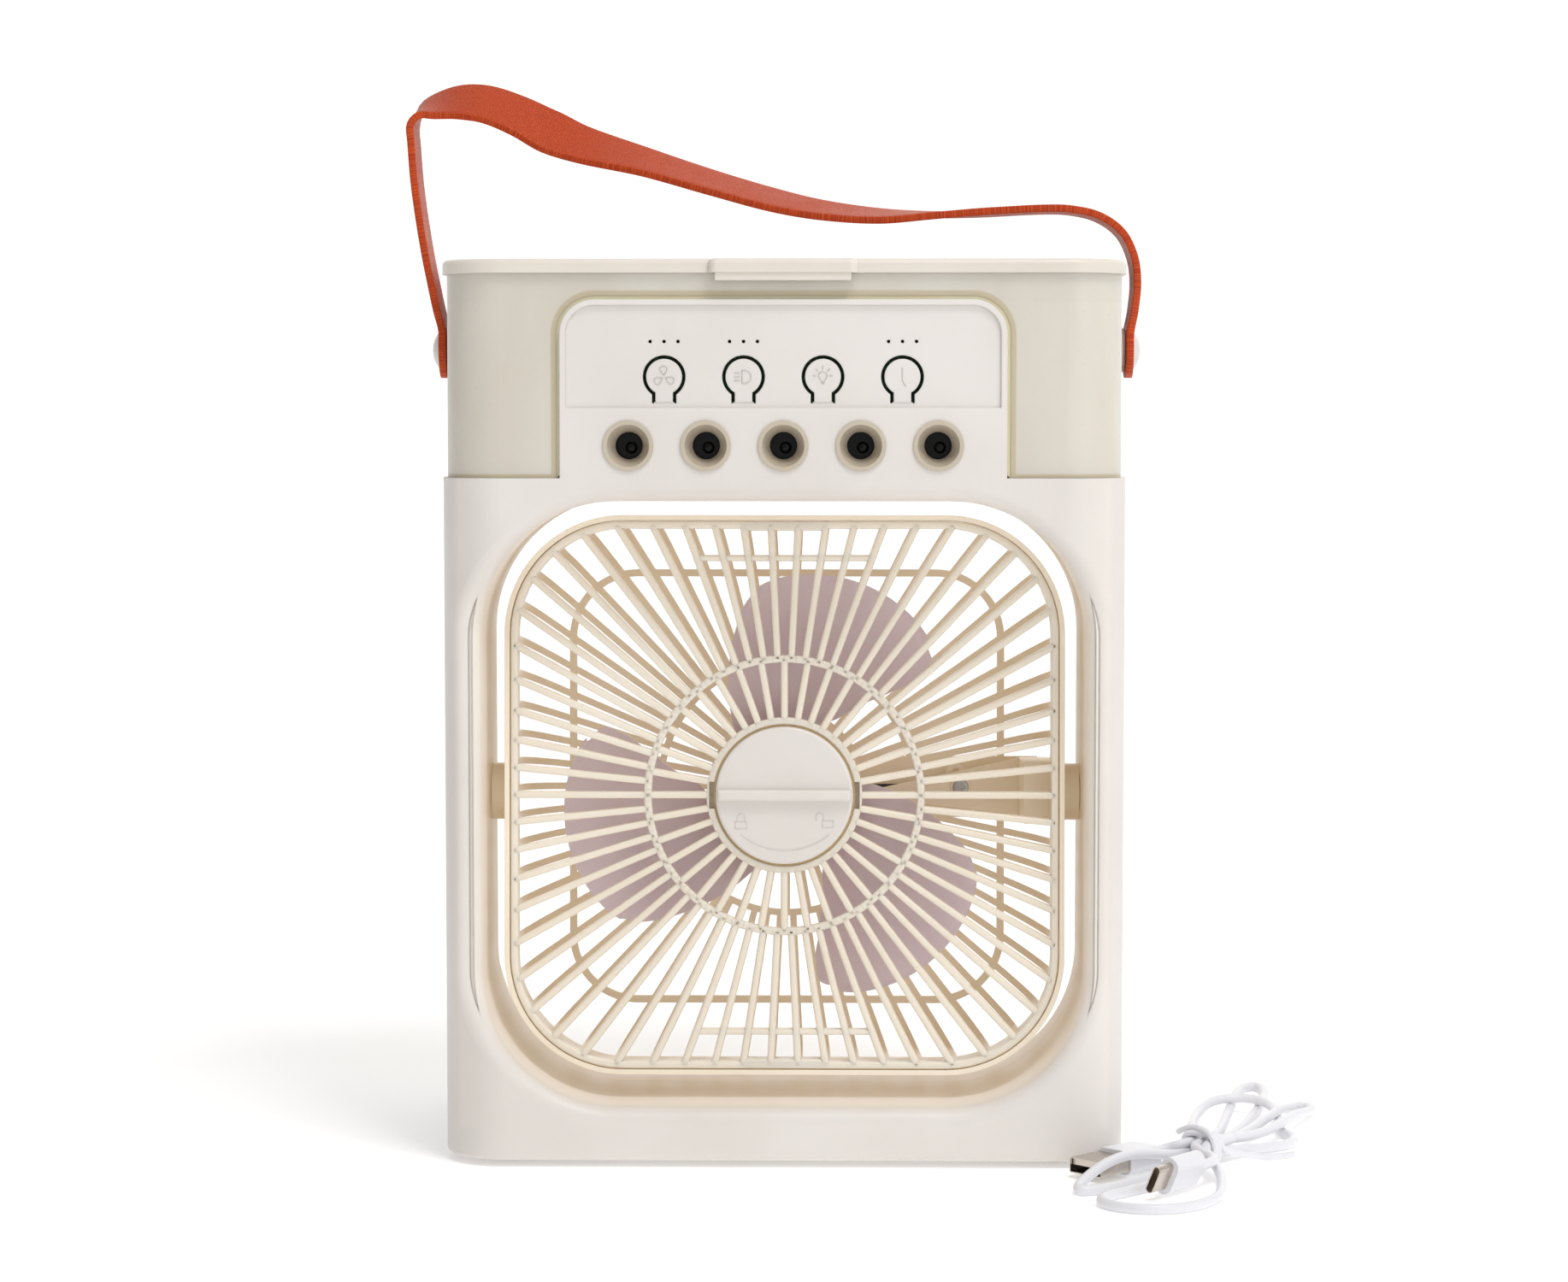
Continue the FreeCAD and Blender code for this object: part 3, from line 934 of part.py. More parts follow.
def lay(shape, at, turn, roll=0.0):
    shape = shape.copy()
    shape.rotate(V(0, 0, 0), X, roll)
    shape.rotate(V(0, 0, 0), Z, turn)
    shape.translate(at)
    return shape


def make_hank():
    # The outline starts with the face that the plug's strain relief ends on.
    neck = [lay(Part.Vertex(MOULD_A + RELIEF, side * NECK_HALF, 0), PLUG_A_AT, PLUG_A_TURN).Point
            for side in (1, -1)]
    outline = [V(p.x, p.y, 0) for p in neck] + [V(x, y, 0) for x, y in HANK_NEAR + HANK_FAR]
    hank = Part.Face(Part.makePolygon(outline + [outline[0]])).extrude(V(0, 0, HANK_H))
    # The tie goes under the bundle as well, across its narrow waist.
    reach = WAIST_HALF + TIE_W + 0.5
    gap = box(-reach, reach, -TIE_W / 2 - 0.3, TIE_W / 2 + 0.3, -1, HANK_H + 1)
    core = box(-WAIST_HALF, WAIST_HALF, -TIE_W, TIE_W, TIE_W + 0.1, WAIST_TOP)
    hank = hank.cut(lay(gap, TIE_AT, TIE_TURN)).fuse(lay(core, TIE_AT, TIE_TURN))
    half_w = (MOULD_C_W * abs(math.cos(math.radians(PLUG_C_ROLL)))
              + MOULD_C_H * abs(math.sin(math.radians(PLUG_C_ROLL)))) / 2
    well = box(-MOULD_C - RELIEF, SHELL_C + 0.4, -half_w - 0.4, half_w + 0.4, -10, 10)
    hank = hank.cut(lay(well, PLUG_C_AT, PLUG_C_TURN))
    save("usb_cable", hank.removeSplitter())

    outer = WAIST_HALF + 0.1 + TIE_W
    ring = box(-outer, outer, -TIE_W / 2, TIE_W / 2, 0, WAIST_TOP + 0.1 + TIE_W)
    ring = ring.cut(box(-WAIST_HALF - 0.1, WAIST_HALF + 0.1, -TIE_W, TIE_W, TIE_W, WAIST_TOP + 0.1))
    ring = lay(ring, TIE_AT, TIE_TURN)
    start = lay(Part.Vertex(outer - 0.2, 0, TIE_W / 2), TIE_AT, TIE_TURN).Point
    points = [start] + [V(x, y, TIE_W / 2) for x, y in TAIL]
    save("cable_tie", fuse([ring, lead(points, TIE_W / 2 - 0.1, 8.0)]))


def make_plugs():
    """Each plug is made along X with its mouth's end plate at zero, then laid in its place."""
    shell = rounded_bar(-SHELL_A, 0, SHELL_A_W, SHELL_A_H, 0.5)
    shell = shell.cut(rounded_bar(-SHELL_A, -1.0, SHELL_A_W - 0.6, SHELL_A_H - 0.6, 0.3))
    tongue = box(1.0 - SHELL_A, -1.0, -5.5, 5.5, 0.0, SHELL_A_H / 2 - 0.3)
    mould = rounded_bar(0, MOULD_A, MOULD_A_W, MOULD_A_H, 2.4)
    mould = mould.fuse(Part.makeCone(3.0, 2.0, RELIEF, V(MOULD_A, 0, 0), X))
    save("usb_a_shell", lay(shell.fuse(tongue), PLUG_A_AT, PLUG_A_TURN))
    save("usb_a_overmould", lay(mould, PLUG_A_AT, PLUG_A_TURN))

    shell = rounded_bar(0, SHELL_C, SHELL_C_W, SHELL_C_H, SHELL_C_H / 2 - 0.01)
    shell = shell.cut(rounded_bar(0.6, SHELL_C, SHELL_C_W - 0.6, SHELL_C_H - 0.6,
                                  SHELL_C_H / 2 - 0.31))
    mould = rounded_bar(-MOULD_C, 0, MOULD_C_W, MOULD_C_H, MOULD_C_H / 2 - 0.01)
    mould = mould.fuse(Part.makeCone(2.0, 2.6, RELIEF, V(-MOULD_C - RELIEF, 0, 0), X))
    save("usb_c_shell", lay(shell, PLUG_C_AT, PLUG_C_TURN, PLUG_C_ROLL))
    save("usb_c_overmould", lay(mould, PLUG_C_AT, PLUG_C_TURN, PLUG_C_ROLL))


make_housing()
make_panel()
make_tank()
make_strap()
make_front_grille()
make_rear_grille()
make_lead_cover()
make_motor()
make_impeller()
make_cap()
make_trunnions()
make_socket()
make_hank()
make_plugs()
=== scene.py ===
# %% [markdown]
# # A desktop misting fan
# The engineering model is already packed: it holds every size, joint and fit. This lesson gives
# it its looks. It loads the model as a frame that never moves, sets a camera, lights and a
# floor, makes the finishes, and models by hand what the plain solids can't show: the moulded
# grille, the leather strap, the charging lead with its tie, and the raised signs.

# %% Load the frame
import json
import math

import bmesh
import bpy
from mathutils import Matrix, Vector


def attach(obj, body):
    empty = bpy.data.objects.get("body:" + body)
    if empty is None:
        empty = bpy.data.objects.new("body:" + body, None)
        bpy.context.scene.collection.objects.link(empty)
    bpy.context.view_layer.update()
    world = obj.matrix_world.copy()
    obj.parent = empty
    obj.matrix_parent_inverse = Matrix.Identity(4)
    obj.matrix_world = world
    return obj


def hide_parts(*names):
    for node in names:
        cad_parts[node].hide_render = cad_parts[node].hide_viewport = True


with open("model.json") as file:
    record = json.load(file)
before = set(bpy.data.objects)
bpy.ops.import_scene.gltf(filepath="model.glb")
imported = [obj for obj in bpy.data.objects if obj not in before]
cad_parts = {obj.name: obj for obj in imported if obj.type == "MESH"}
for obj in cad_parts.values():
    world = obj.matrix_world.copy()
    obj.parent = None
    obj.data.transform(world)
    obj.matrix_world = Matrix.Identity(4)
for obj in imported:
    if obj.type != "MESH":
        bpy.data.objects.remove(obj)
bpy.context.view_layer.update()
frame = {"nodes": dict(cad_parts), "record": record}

MM = 0.001
NODES = frame["nodes"]


def mm(*values):
    """Millimetres, as a drawing gives them, in Blender's metres."""
    return Vector([value * MM for value in values])


def tone(red, green, blue):
    """A paint shop's 0 to 255 tones as the linear colour that shaders work in."""
    shares = [value / 255 for value in (red, green, blue)]
    linear = [((c + 0.055) / 1.055) ** 2.4 if c > 10 / 255 else c / 12.92 for c in shares]
    return (*linear, 1.0)


def nothing_selected():
    if bpy.context.object and bpy.context.object.mode != "OBJECT":
        bpy.ops.object.mode_set(mode="OBJECT")
    bpy.ops.object.select_all(action="DESELECT")


nothing_selected()
print("nodes in the frame:", len(NODES))

# %% [markdown]
# ## Camera
# A square thing wants a long lens: the front stays nearly square, and a little of the lid and of
# the tunnel's floor shows. The camera stands about a metre away, a
# little above the middle, and looks slightly down.

# %% Camera
LENS = 83.9
CAMERA_AT = mm(16, -1108, 222.5)
LOOK_DOWN, LOOK_LEFT = math.radians(3.75), math.radians(0.86)

bpy.ops.object.camera_add(location=CAMERA_AT, rotation=(math.pi / 2 - LOOK_DOWN, 0, LOOK_LEFT))
camera = bpy.context.object
camera.data.lens = LENS
camera.data.clip_start = 0.01
bpy.context.scene.camera = camera
print("camera", LENS, "mm lens, at", tuple(round(v, 3) for v in CAMERA_AT))

# %% [markdown]
# ## Finishes
# Every finish is worked out from the surface's own place, so it needs no pictures. Shader maths
# is easier to read as Python: Wire holds a value on its way through a material and adds a Math
# node for each operator. Finish holds one material and has one method, node, that makes any
# other kind of node.


# %% Shader maths as Python
class Wire:
    """A value in a material. Operators on it add Math nodes."""

    def __init__(self, finish, socket):
        self.finish, self.socket = finish, socket

    def math(self, operation, *values):
        settings = {"operation": operation, "use_clamp": False}
        return self.finish.node("ShaderNodeMath", settings, list(values))

    def __add__(self, other):
        return self.math("ADD", self, other)

    def __mul__(self, other):
        return self.math("MULTIPLY", self, other)

    def __sub__(self, other):
        return self.math("SUBTRACT", self, other)

    def __rsub__(self, other):
        return self.math("SUBTRACT", other, self)

    def smooth(self, low, high):
        """Zero below low, one above high, and an eased step between them."""
        settings = {"interpolation_type": "SMOOTHSTEP"}
        inputs = {"Value": self, "From Min": low, "From Max": high}
        return self.finish.node("ShaderNodeMapRange", settings, inputs)

    __radd__, __rmul__ = __add__, __mul__


# %% One material
class Finish:
    def __init__(self, name, follows="Object"):
        self.material = bpy.data.materials.new(name)
        self.material.use_nodes = True
        self.tree = self.material.node_tree
        self.shader = next(n for n in self.tree.nodes if n.type == "BSDF_PRINCIPLED")
        self.place = self.node("ShaderNodeTexCoord", {}, {}, follows)

    def node(self, kind, settings, inputs, output=0):
        """Any node: its settings first, then its sockets, by name or in order."""
        made = self.tree.nodes.new(kind)
        for key, value in settings.items():
            setattr(made, key, value)
        pairs = inputs.items() if isinstance(inputs, dict) else enumerate(inputs)
        for key, value in pairs:
            if value is not None:
                self.join(made.inputs[key], value)
        return Wire(self, made.outputs[output])

    def join(self, socket, value):
        if isinstance(value, Wire):
            self.tree.links.new(value.socket, socket)
        else:
            socket.default_value = value

    def set(self, **sockets):
        """Sockets of the shader itself, named with underscores for spaces."""
        for key, value in sockets.items():
            self.join(self.shader.inputs[key.replace("_", " ")], value)
        return self

    def noise(self, per_metre, detail=2.0, roughness=0.5, place=None):
        inputs = {"Vector": place or self.place, "Scale": per_metre, "Detail": detail,
                  "Roughness": roughness}
        return self.node("ShaderNodeTexNoise", {}, inputs)

    def cells(self, per_metre, feature="F1", place=None, output="Distance"):
        inputs = {"Vector": place or self.place, "Scale": per_metre}
        return self.node("ShaderNodeTexVoronoi", {"feature": feature}, inputs, output)

    def blend(self, share, one, two):
        """Two colours mixed: share 0 gives one and share 1 gives two."""
        made = self.tree.nodes.new("ShaderNodeMix")
        made.data_type = "RGBA"
        # A Mix node has a set of sockets for each kind of value: these are the ones for colours.
        for number, value in ((0, share), (6, one), (7, two)):
            self.join(made.inputs[number], value)
        return Wire(self, made.outputs[2])

    def axes(self):
        """The surface's place as separate x, y and z."""
        split = self.node("ShaderNodeSeparateXYZ", {}, [self.place]).socket.node.outputs
        return [Wire(self, socket) for socket in split]

    def stretched(self, x, y, z, place=None):
        """The surface's place with each direction scaled, for brushed and drawn patterns."""
        settings = {"operation": "MULTIPLY"}
        return self.node("ShaderNodeVectorMath", settings, [place or self.place, (x, y, z)])

    def relief(self, height, depth, edge=None):
        """A bump of that depth in metres, over edges that look rounded by that radius."""
        inputs = {"Strength": 1.0, "Distance": depth, "Height": height}
        if edge:
            inputs["Normal"] = self.node("ShaderNodeBevel", {"samples": 4}, {"Radius": edge})
        return self.node("ShaderNodeBump", {}, inputs)


# %% [markdown]
# ## Moulded plastic
# A moulded shell is never one flat colour. The tool's skin leaves a fine satin grain, the melt
# leaves faint clouds of tone, handling leaves patches that are a little glossier, and a few
# specks get in. The edges catch light because no real edge is sharp.


# %% Moulded plastic
def moulded(name, light, dark, gloss=0.38, grain=0.00001, edge=0.00035, inner=0.0, speck=True,
            painted_glow=0.0):
    """The last argument is painted light: a warm emission that stands in for the light that thin,
    thick-lit plastic gives back where it is in shadow.
    """
    finish = Finish(name)
    clouds = finish.noise(14, 3, 0.55)
    skin = finish.noise(2600, 1.5, 0.6)
    wear = finish.noise(75, 4, 0.6)
    colour = finish.blend(clouds.smooth(0.3, 0.72), dark, light)
    if speck:
        dust = (1 - finish.cells(85).smooth(0.012, 0.026)) * finish.noise(23, 1).smooth(0.6, 0.66)
        colour = finish.blend(dust * 0.6, colour, tone(92, 84, 74))
    finish.set(
        Base_Color=colour,
        Roughness=gloss + (wear - 0.5) * 0.16 + (skin - 0.5) * 0.08,
        Normal=finish.relief(skin + wear * 0.5, grain, edge),
        Subsurface_Weight=inner,
        Subsurface_Scale=0.004,
        Subsurface_Radius=(1.0, 0.72, 0.5),
        IOR=1.5,
        Emission_Color=PAINTED_GLOW,
        Emission_Strength=painted_glow,
    )
    return finish


def in_tunnel(finish):
    """One on the walls of the through tunnel and zero on the outside of the body: where the
    housing's painted warm light goes.
    """
    x, y, z = finish.axes()
    off_x, off_z = x.math("ABSOLUTE", x), x.math("ABSOLUTE", z - PIVOT_Z)
    inside = 1 - off_x.math("MAXIMUM", off_x, off_z).smooth(TUNNEL_WALL, TUNNEL_WALL + 0.002)
    return inside * y.smooth(TUNNEL_MOUTH, TUNNEL_DEEP)


# In metres: the height of the pivot and so of the tunnel's middle, half the tunnel's width, and
# the depths at its mouth and where the painted glow is full.
PIVOT_Z, TUNNEL_WALL, TUNNEL_MOUTH, TUNNEL_DEEP = 0.1054, 0.0935, -0.0578, -0.047
PAINTED_GLOW = (1.0, 0.76, 0.46, 1.0)
IVORY, IVORY_DARK = tone(227, 222, 217), tone(220, 214, 208)
# The housing glows warm on its tunnel walls only: painted light for the warm light in the tunnel's
# shade.
shell = moulded("ivory_housing", IVORY, IVORY_DARK, 0.42, edge=0.0007, inner=0.12, painted_glow=0.11)
shell.set(Emission_Color=shell.blend(in_tunnel(shell), (0, 0, 0, 1), PAINTED_GLOW))
housing_abs = shell.material
lid_abs = moulded("ivory_lid", tone(225, 218, 208), tone(217, 209, 198), gloss=0.36,
                  inner=0.15).material
# The cream cage and the lavender impeller carry a faint painted glow all over.
cage_abs = moulded("cream_cage", tone(232, 224, 210), tone(224, 214, 198), gloss=0.3, grain=0.000006,
                   edge=0.0003, inner=0.2, speck=False, painted_glow=0.03).material
# The cage's rear parts sit in shade, so they get a lit copy of the cage: a lighter, warmer base and
# more glow, all painted light.
cage_back_painted_light = moulded("shaded_cage_painted_light", tone(240, 229, 212), tone(231, 218, 198), gloss=0.36,
                    grain=0.000008, edge=0.0003, inner=0.2, speck=False, painted_glow=0.07).material
cap_abs = moulded("ivory_cap", IVORY, IVORY_DARK, gloss=0.32, grain=0.000006, edge=0.0003, inner=0.1,
                  speck=False).material
# The nozzles are a darker sand than the ivory housing: painted shade for the shading in their cones.
nozzle_abs = moulded("nozzle_painted_shade", tone(204, 192, 173), tone(190, 177, 158), gloss=0.36,
                     grain=0.000006, edge=0.0002, inner=0.15, speck=False).material
impeller_abs = moulded("lavender_impeller", tone(228, 215, 226), tone(217, 203, 216), gloss=0.3,
                       grain=0.000008, edge=0.0003, inner=0.25, painted_glow=0.02).material

# %% [markdown]
# The tank is a milky plastic that lets some light through: the lid's skirt shows faintly inside it,
# and a greyer band at its top paints the skirt's shade. It is glossier than the housing, with long
# soft flow marks where the melt ran.

# %% Milky tank
# The panel that the tank wraps round, in millimetres: half its width, its top, its corners, and
# the deck that the tank stands on.
PANEL_HALF, PANEL_TOP, PANEL_R, DECK_Z = 64.3, 251.8, 10.0, 200.5
tank = Finish("milky_tank")
flow = tank.noise(1, 3, 0.5, tank.stretched(34, 34, 9))
haze = tank.noise(900, 2)
x, y, z = tank.axes()
# The tank's edge is painted tan along its foot and round the panel, where one looks into the wall:
# painted light for the light that travels inside the plastic.
past_x, past_z = x.math("ABSOLUTE", x) - (PANEL_HALF - PANEL_R) * MM, z - (PANEL_TOP - PANEL_R) * MM
off_x, off_z = past_x.math("MAXIMUM", past_x, 0.0), past_z.math("MAXIMUM", past_z, 0.0)
reach = x.math("SQRT", off_x * off_x + off_z * off_z)
edge = (1 - reach.smooth(0.0122, 0.0128)) + (1 - z.smooth(0.2013, 0.2019))
# From about 251 mm up the milk is painted greyer: painted shade of the lid's skirt behind the wall.
skirt_painted_shade = z.smooth(0.2505, 0.2515)
milk = tank.blend(flow.smooth(0.3, 0.7), tone(222, 213, 200), tone(232, 225, 213))
milk = tank.blend(skirt_painted_shade * 0.4, milk, tone(222, 215, 203))
tank.set(
    Base_Color=tank.blend(edge.math("MINIMUM", edge, 1.0) * 0.75, milk, tone(206, 189, 152)),
    Roughness=0.3 + (haze - 0.5) * 0.12,
    Normal=tank.relief(flow * 2 + haze * 0.2, 0.00002, 0.0004),
    Alpha=0.86 + (flow - 0.5) * 0.05,
    Subsurface_Weight=0.35,
    Subsurface_Scale=0.006,
    Subsurface_Radius=(1.0, 0.8, 0.55),
    IOR=1.5,
)
tank_pp = tank.material


# %% [markdown]
# ## Metals
# Drawn and plated steel is brushed along one direction. A noise that is stretched hard along
# that direction makes the fine lines, and the same lines vary the gloss.


# %% Metals
def metal(name, light, dark, rough, along=(1, 40, 1), depth=0.000004):
    finish = Finish(name)
    lines = finish.noise(300, 3, 0.6, finish.stretched(*along))
    stain = finish.noise(160, 3)
    finish.set(
        Base_Color=finish.blend(lines * 0.6 + stain * 0.4, dark, light),
        Metallic=1.0,
        Roughness=rough + (lines - 0.5) * 0.18 + (stain - 0.5) * 0.1,
        Normal=finish.relief(lines, depth, 0.00012),
    )
    return finish.material


zinc_steel = metal("zinc_steel", tone(196, 195, 192), tone(158, 156, 152), 0.34)
motor_steel = metal("drawn_steel", tone(178, 178, 180), tone(140, 140, 143), 0.42, (30, 1, 30))
nickel = metal("nickel_plate", tone(214, 206, 197), tone(182, 171, 160), 0.26, (3, 40, 40))
# The mist disc is made near black: painted shade for the deep hole that it sits in.
disc_metal = metal("mist_disc_painted_shade", tone(46, 44, 42), tone(22, 21, 20), 0.3, (20, 1, 20))


# %% [markdown]
# ## Soft and small parts
# Rubber, cotton, cable jackets and boards are mostly hidden, but the sides, the back and an
# open lid show them, so each one has its own grain.


# %% Rubber, jackets and dark plastic
def soft(name, light, dark, rough, per_metre, depth, sheen=0.0):
    finish = Finish(name)
    pores = finish.noise(per_metre, 3, 0.6)
    smudge = finish.noise(60, 3)
    finish.set(
        Base_Color=finish.blend(pores * 0.5 + smudge * 0.5, dark, light),
        Roughness=rough + (smudge - 0.5) * 0.2,
        Normal=finish.relief(pores, depth, 0.0003),
        Sheen_Weight=sheen,
    )
    return finish.material


seal_rubber = soft("grey_rubber", tone(212, 208, 202), tone(190, 186, 180), 0.62, 1500, 0.00002)
jacket_white = soft("white_jacket", tone(236, 236, 239), tone(222, 222, 228), 0.36, 900, 0.000008)
jacket_dark = soft("black_jacket", tone(34, 34, 36), tone(20, 20, 22), 0.45, 1100, 0.00001)
dark_plastic = soft("black_plastic", tone(42, 42, 44), tone(26, 26, 28), 0.4, 1800, 0.00001)
stud_plastic = soft("stud_cap", tone(226, 222, 218), tone(206, 201, 197), 0.22, 1200, 0.000006)
cotton = soft("pressed_cotton", tone(240, 238, 233), tone(214, 210, 202), 0.85, 2600, 0.00012, 0.4)
led_lens = soft("indicator_lens", tone(58, 54, 48), tone(30, 28, 26), 0.15, 800, 0.000003)

# %% Circuit board
board = Finish("circuit_board")
fibre = board.noise(1, 2, 0.5, board.stretched(2600, 400, 2600))
tracks = board.cells(420, "DISTANCE_TO_EDGE").smooth(0.05, 0.09)
board.set(
    Base_Color=board.blend(tracks, tone(60, 128, 74), tone(22, 78, 44)),
    Roughness=0.34 + (fibre - 0.5) * 0.2,
    Normal=board.relief(1 - tracks, 0.00003, 0.0001),
)
circuit_board = board.material

# %% [markdown]
# ## Giving the frame its finishes
# The record names a material slot for each node, so one table dresses the whole model.

# %% Dress the nodes
FINISH_OF_SLOT = {
    "housing_abs": housing_abs, "lid_abs": lid_abs, "tank_pp": tank_pp, "nozzle_abs": nozzle_abs,
    "cage_abs": cage_abs, "impeller_abs": impeller_abs, "stud_plastic": stud_plastic,
    "seal_rubber": seal_rubber, "cotton": cotton, "steel_fasteners": zinc_steel,
    "motor_steel": motor_steel, "plug_shell": nickel, "lead_white": jacket_white,
    "lead_dark": jacket_dark, "circuit_board": circuit_board, "disc_metal": disc_metal,
    "led_lens": led_lens, "dark_plastic": dark_plastic,
}


def dress(piece, material):
    piece.data.materials.clear()
    piece.data.materials.append(material)


for part in frame["record"]["subparts"]:
    if part["material_slot"] in FINISH_OF_SLOT:
        dress(NODES[part["node"]], FINISH_OF_SLOT[part["material_slot"]])
# The rear grille and trunnions take the cage copy with painted light.
for node in ("rear_grille", "trunnion_left", "trunnion_right"):
    dress(NODES[node], cage_back_painted_light)
dress(NODES["lock_cap"], cap_abs)
print("dressed", len(NODES), "nodes")

# %% [markdown]
# ## The charging lead
# The loose lead is a thin white cable, folded back on itself into a hank and caught in the
# middle by a wire tie. A cable this thin is limp, so its folds are small, but it still lies on
# the floor under its own weight and rises only where it crosses itself. Its line is one spline
# through listed points: six passes through the tie, two loops on the near side and
# three on the far side.

# %% The tie's place, and the passes through it
CABLE_R = 1.5
TIE = Vector((122.2, -51.0))
TIE_TURN = math.radians(-40)
ACROSS = Vector((math.cos(TIE_TURN), math.sin(TIE_TURN)))
ALONG = Vector((-ACROSS.y, ACROSS.x))
LOW, HIGH = 3.6, 6.5
PITCH = 3.1
REACH = 5.0


def tie_point(across, along, z):
    spot = TIE + ACROSS * across + ALONG * along
    return (spot.x, spot.y, z)


def through_tie(place, z, outward):
    """Two points of one pass, near side first where the cable runs outward."""
    near, far = tie_point(place * PITCH, -REACH, z), tie_point(place * PITCH, REACH, z)
    return [near, far] if outward else [far, near]


# %% The lead's line
LEAD_LINE = (
    [(107.7, -53.0, 3.9), (111.4, -50.3, 4.6)]
    + through_tie(-1, HIGH, True)
    + [(127.0, -34.0, 4.6), (132.0, -10.0, 1.8), (137.0, 18.0, 1.5), (142.0, 46.0, 1.5),
       (146.5, 63.0, 1.5), (152.5, 64.0, 1.5), (152.5, 50.0, 1.5), (147.0, 24.0, 1.5),
       (139.5, -5.0, 1.8), (130.0, -32.0, 3.0)]
    + through_tie(-1, LOW, False)
    + [(111.5, -60.0, 4.6), (102.0, -69.5, 7.4), (92.5, -79.0, 6.8), (84.0, -87.5, 2.2),
       (83.0, -95.0, 1.5), (92.0, -91.0, 1.5), (102.5, -78.5, 1.5), (113.0, -66.0, 2.0)]
    + through_tie(0, LOW, True)
    + [(125.0, -30.0, 1.7), (123.0, -8.0, 1.5), (126.5, 14.0, 1.6), (132.5, 25.5, 4.4),
       (143.0, 28.5, 4.7), (150.5, 20.0, 4.6), (151.5, 6.0, 2.0), (149.5, -8.0, 1.5),
       (153.5, -20.0, 1.5), (150.0, -30.0, 1.5), (140.0, -36.0, 1.8)]
    + through_tie(1, LOW, False)
    + [(116.5, -70.0, 1.7), (107.5, -84.0, 1.5), (97.0, -95.0, 1.5), (88.5, -103.0, 1.5),
       (89.5, -112.0, 1.5), (99.5, -118.0, 1.5), (112.0, -115.5, 1.5), (121.5, -104.0, 1.5),
       (124.5, -88.0, 1.5), (125.5, -70.0, 2.5)]
    + through_tie(1, HIGH, True)
    + [(134.0, -36.0, 5.2), (141.0, -18.0, 4.4), (147.0, -4.0, 4.8), (152.5, 10.0, 4.8),
       (157.0, 22.0, 2.4), (159.5, 31.0, 1.5), (164.5, 29.0, 1.5), (162.5, 17.0, 2.4),
       (156.5, 2.0, 4.8), (150.5, -12.0, 4.8), (141.0, -31.0, 4.6)]
    + through_tie(0, HIGH, False)
    + [(121.0, -64.0, 6.3), (123.8, -72.5, 6.3), (121.9, -78.8, 6.3), (118.8, -82.7, 6.3)]
)


def cable(name, line, radius, material, body):
    """A round cable along one spline of listed points, given in millimetres."""
    data = bpy.data.curves.new(name, "CURVE")
    data.dimensions = "3D"
    data.bevel_depth = radius * MM
    data.bevel_resolution = 4
    data.use_fill_caps = True
    data.resolution_u = 10
    spline = data.splines.new("NURBS")
    spline.points.add(len(line) - 1)
    for point, place in zip(spline.points, line):
        point.co = (*mm(*place), 1.0)
    spline.order_u = 3
    spline.use_endpoint_u = True
    piece = bpy.data.objects.new(name, data)
    bpy.context.scene.collection.objects.link(piece)
    dress(piece, material)
    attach(piece, body)
    return piece


lead = cable("charging_lead", LEAD_LINE, CABLE_R, jacket_white, "housing")
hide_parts("usb_cable")
mm(*LEAD_LINE[0])

# %% [markdown]
# The tie is a soft wire in a white sleeve. It goes round the bundle twice, side by side, and its
# two tails are twisted off to the right: one long, which lies on the floor, and one short.

# %% The tie
TIE_R = 0.95
RING = [(6.1, 5.0), (5.2, 8.9), (0.0, 9.4), (-5.2, 8.9), (-6.1, 5.0), (-5.4, 1.2), (0.0, 1.0),
        (5.4, 1.2)]
tie_line = [(150.0, -41.0, 1.1), (144.5, -44.5, 1.1), (138.5, -46.5, 1.4), (133.0, -50.5, 3.2)]
for turn in range(2):
    for number, (across, z) in enumerate(RING):
        share = turn + number / len(RING)
        tie_line.append(tie_point(across, 1.3 - 1.5 * share, z))
tie_line += [tie_point(6.3, -2.0, 5.0), tie_point(5.0, -2.2, 9.6), tie_point(0.0, -0.6, 11.0),
             tie_point(-6.0, 1.0, 10.3), tie_point(-9.5, 1.6, 8.2)]
tie = cable("wire_tie", tie_line, TIE_R, jacket_white, "housing")
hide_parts("cable_tie")
mm(*tie_line[0])
print("lead points", len(LEAD_LINE), "and tie points", len(tie_line))

# %% [markdown]
# ## Modelling helpers
# Each new piece starts from a primitive and is shaped in edit mode, so the helpers are what a
# hand does there: enter edit mode, pick vertices, edges or faces by their place, and leave.


# %% Edit-mode helpers
def start(name, kind, **settings):
    """A primitive, selected on its own, with its place in its mesh."""
    nothing_selected()
    getattr(bpy.ops.mesh, f"primitive_{kind}_add")(**settings)
    piece = bpy.context.object
    piece.name = name
    bpy.ops.object.transform_apply(location=True, rotation=True, scale=True)
    return piece


def block(name, x, y, z):
    """A box from three pairs of millimetres."""
    size = [high - low for low, high in (x, y, z)]
    middle = [(low + high) / 2 for low, high in (x, y, z)]
    return start(name, "cube", size=1, location=mm(*middle), scale=mm(*size))


def pick(piece, test, kind="EDGE"):
    """Edit mode with only those vertices, edges or faces selected of which test(points) is true."""
    bpy.context.view_layer.objects.active = piece
    bpy.ops.object.mode_set(mode="EDIT")
    bpy.ops.mesh.select_mode(type=kind)
    bpy.ops.mesh.select_all(action="DESELECT")
    mesh = bmesh.from_edit_mesh(piece.data)
    items = {"VERT": mesh.verts, "EDGE": mesh.edges, "FACE": mesh.faces}[kind]
    for item in items:
        points = [item.co] if kind == "VERT" else [v.co for v in item.verts]
        if test([point / MM for point in points]):
            item.select_set(True)
    mesh.select_flush_mode()
    bmesh.update_edit_mesh(piece.data)


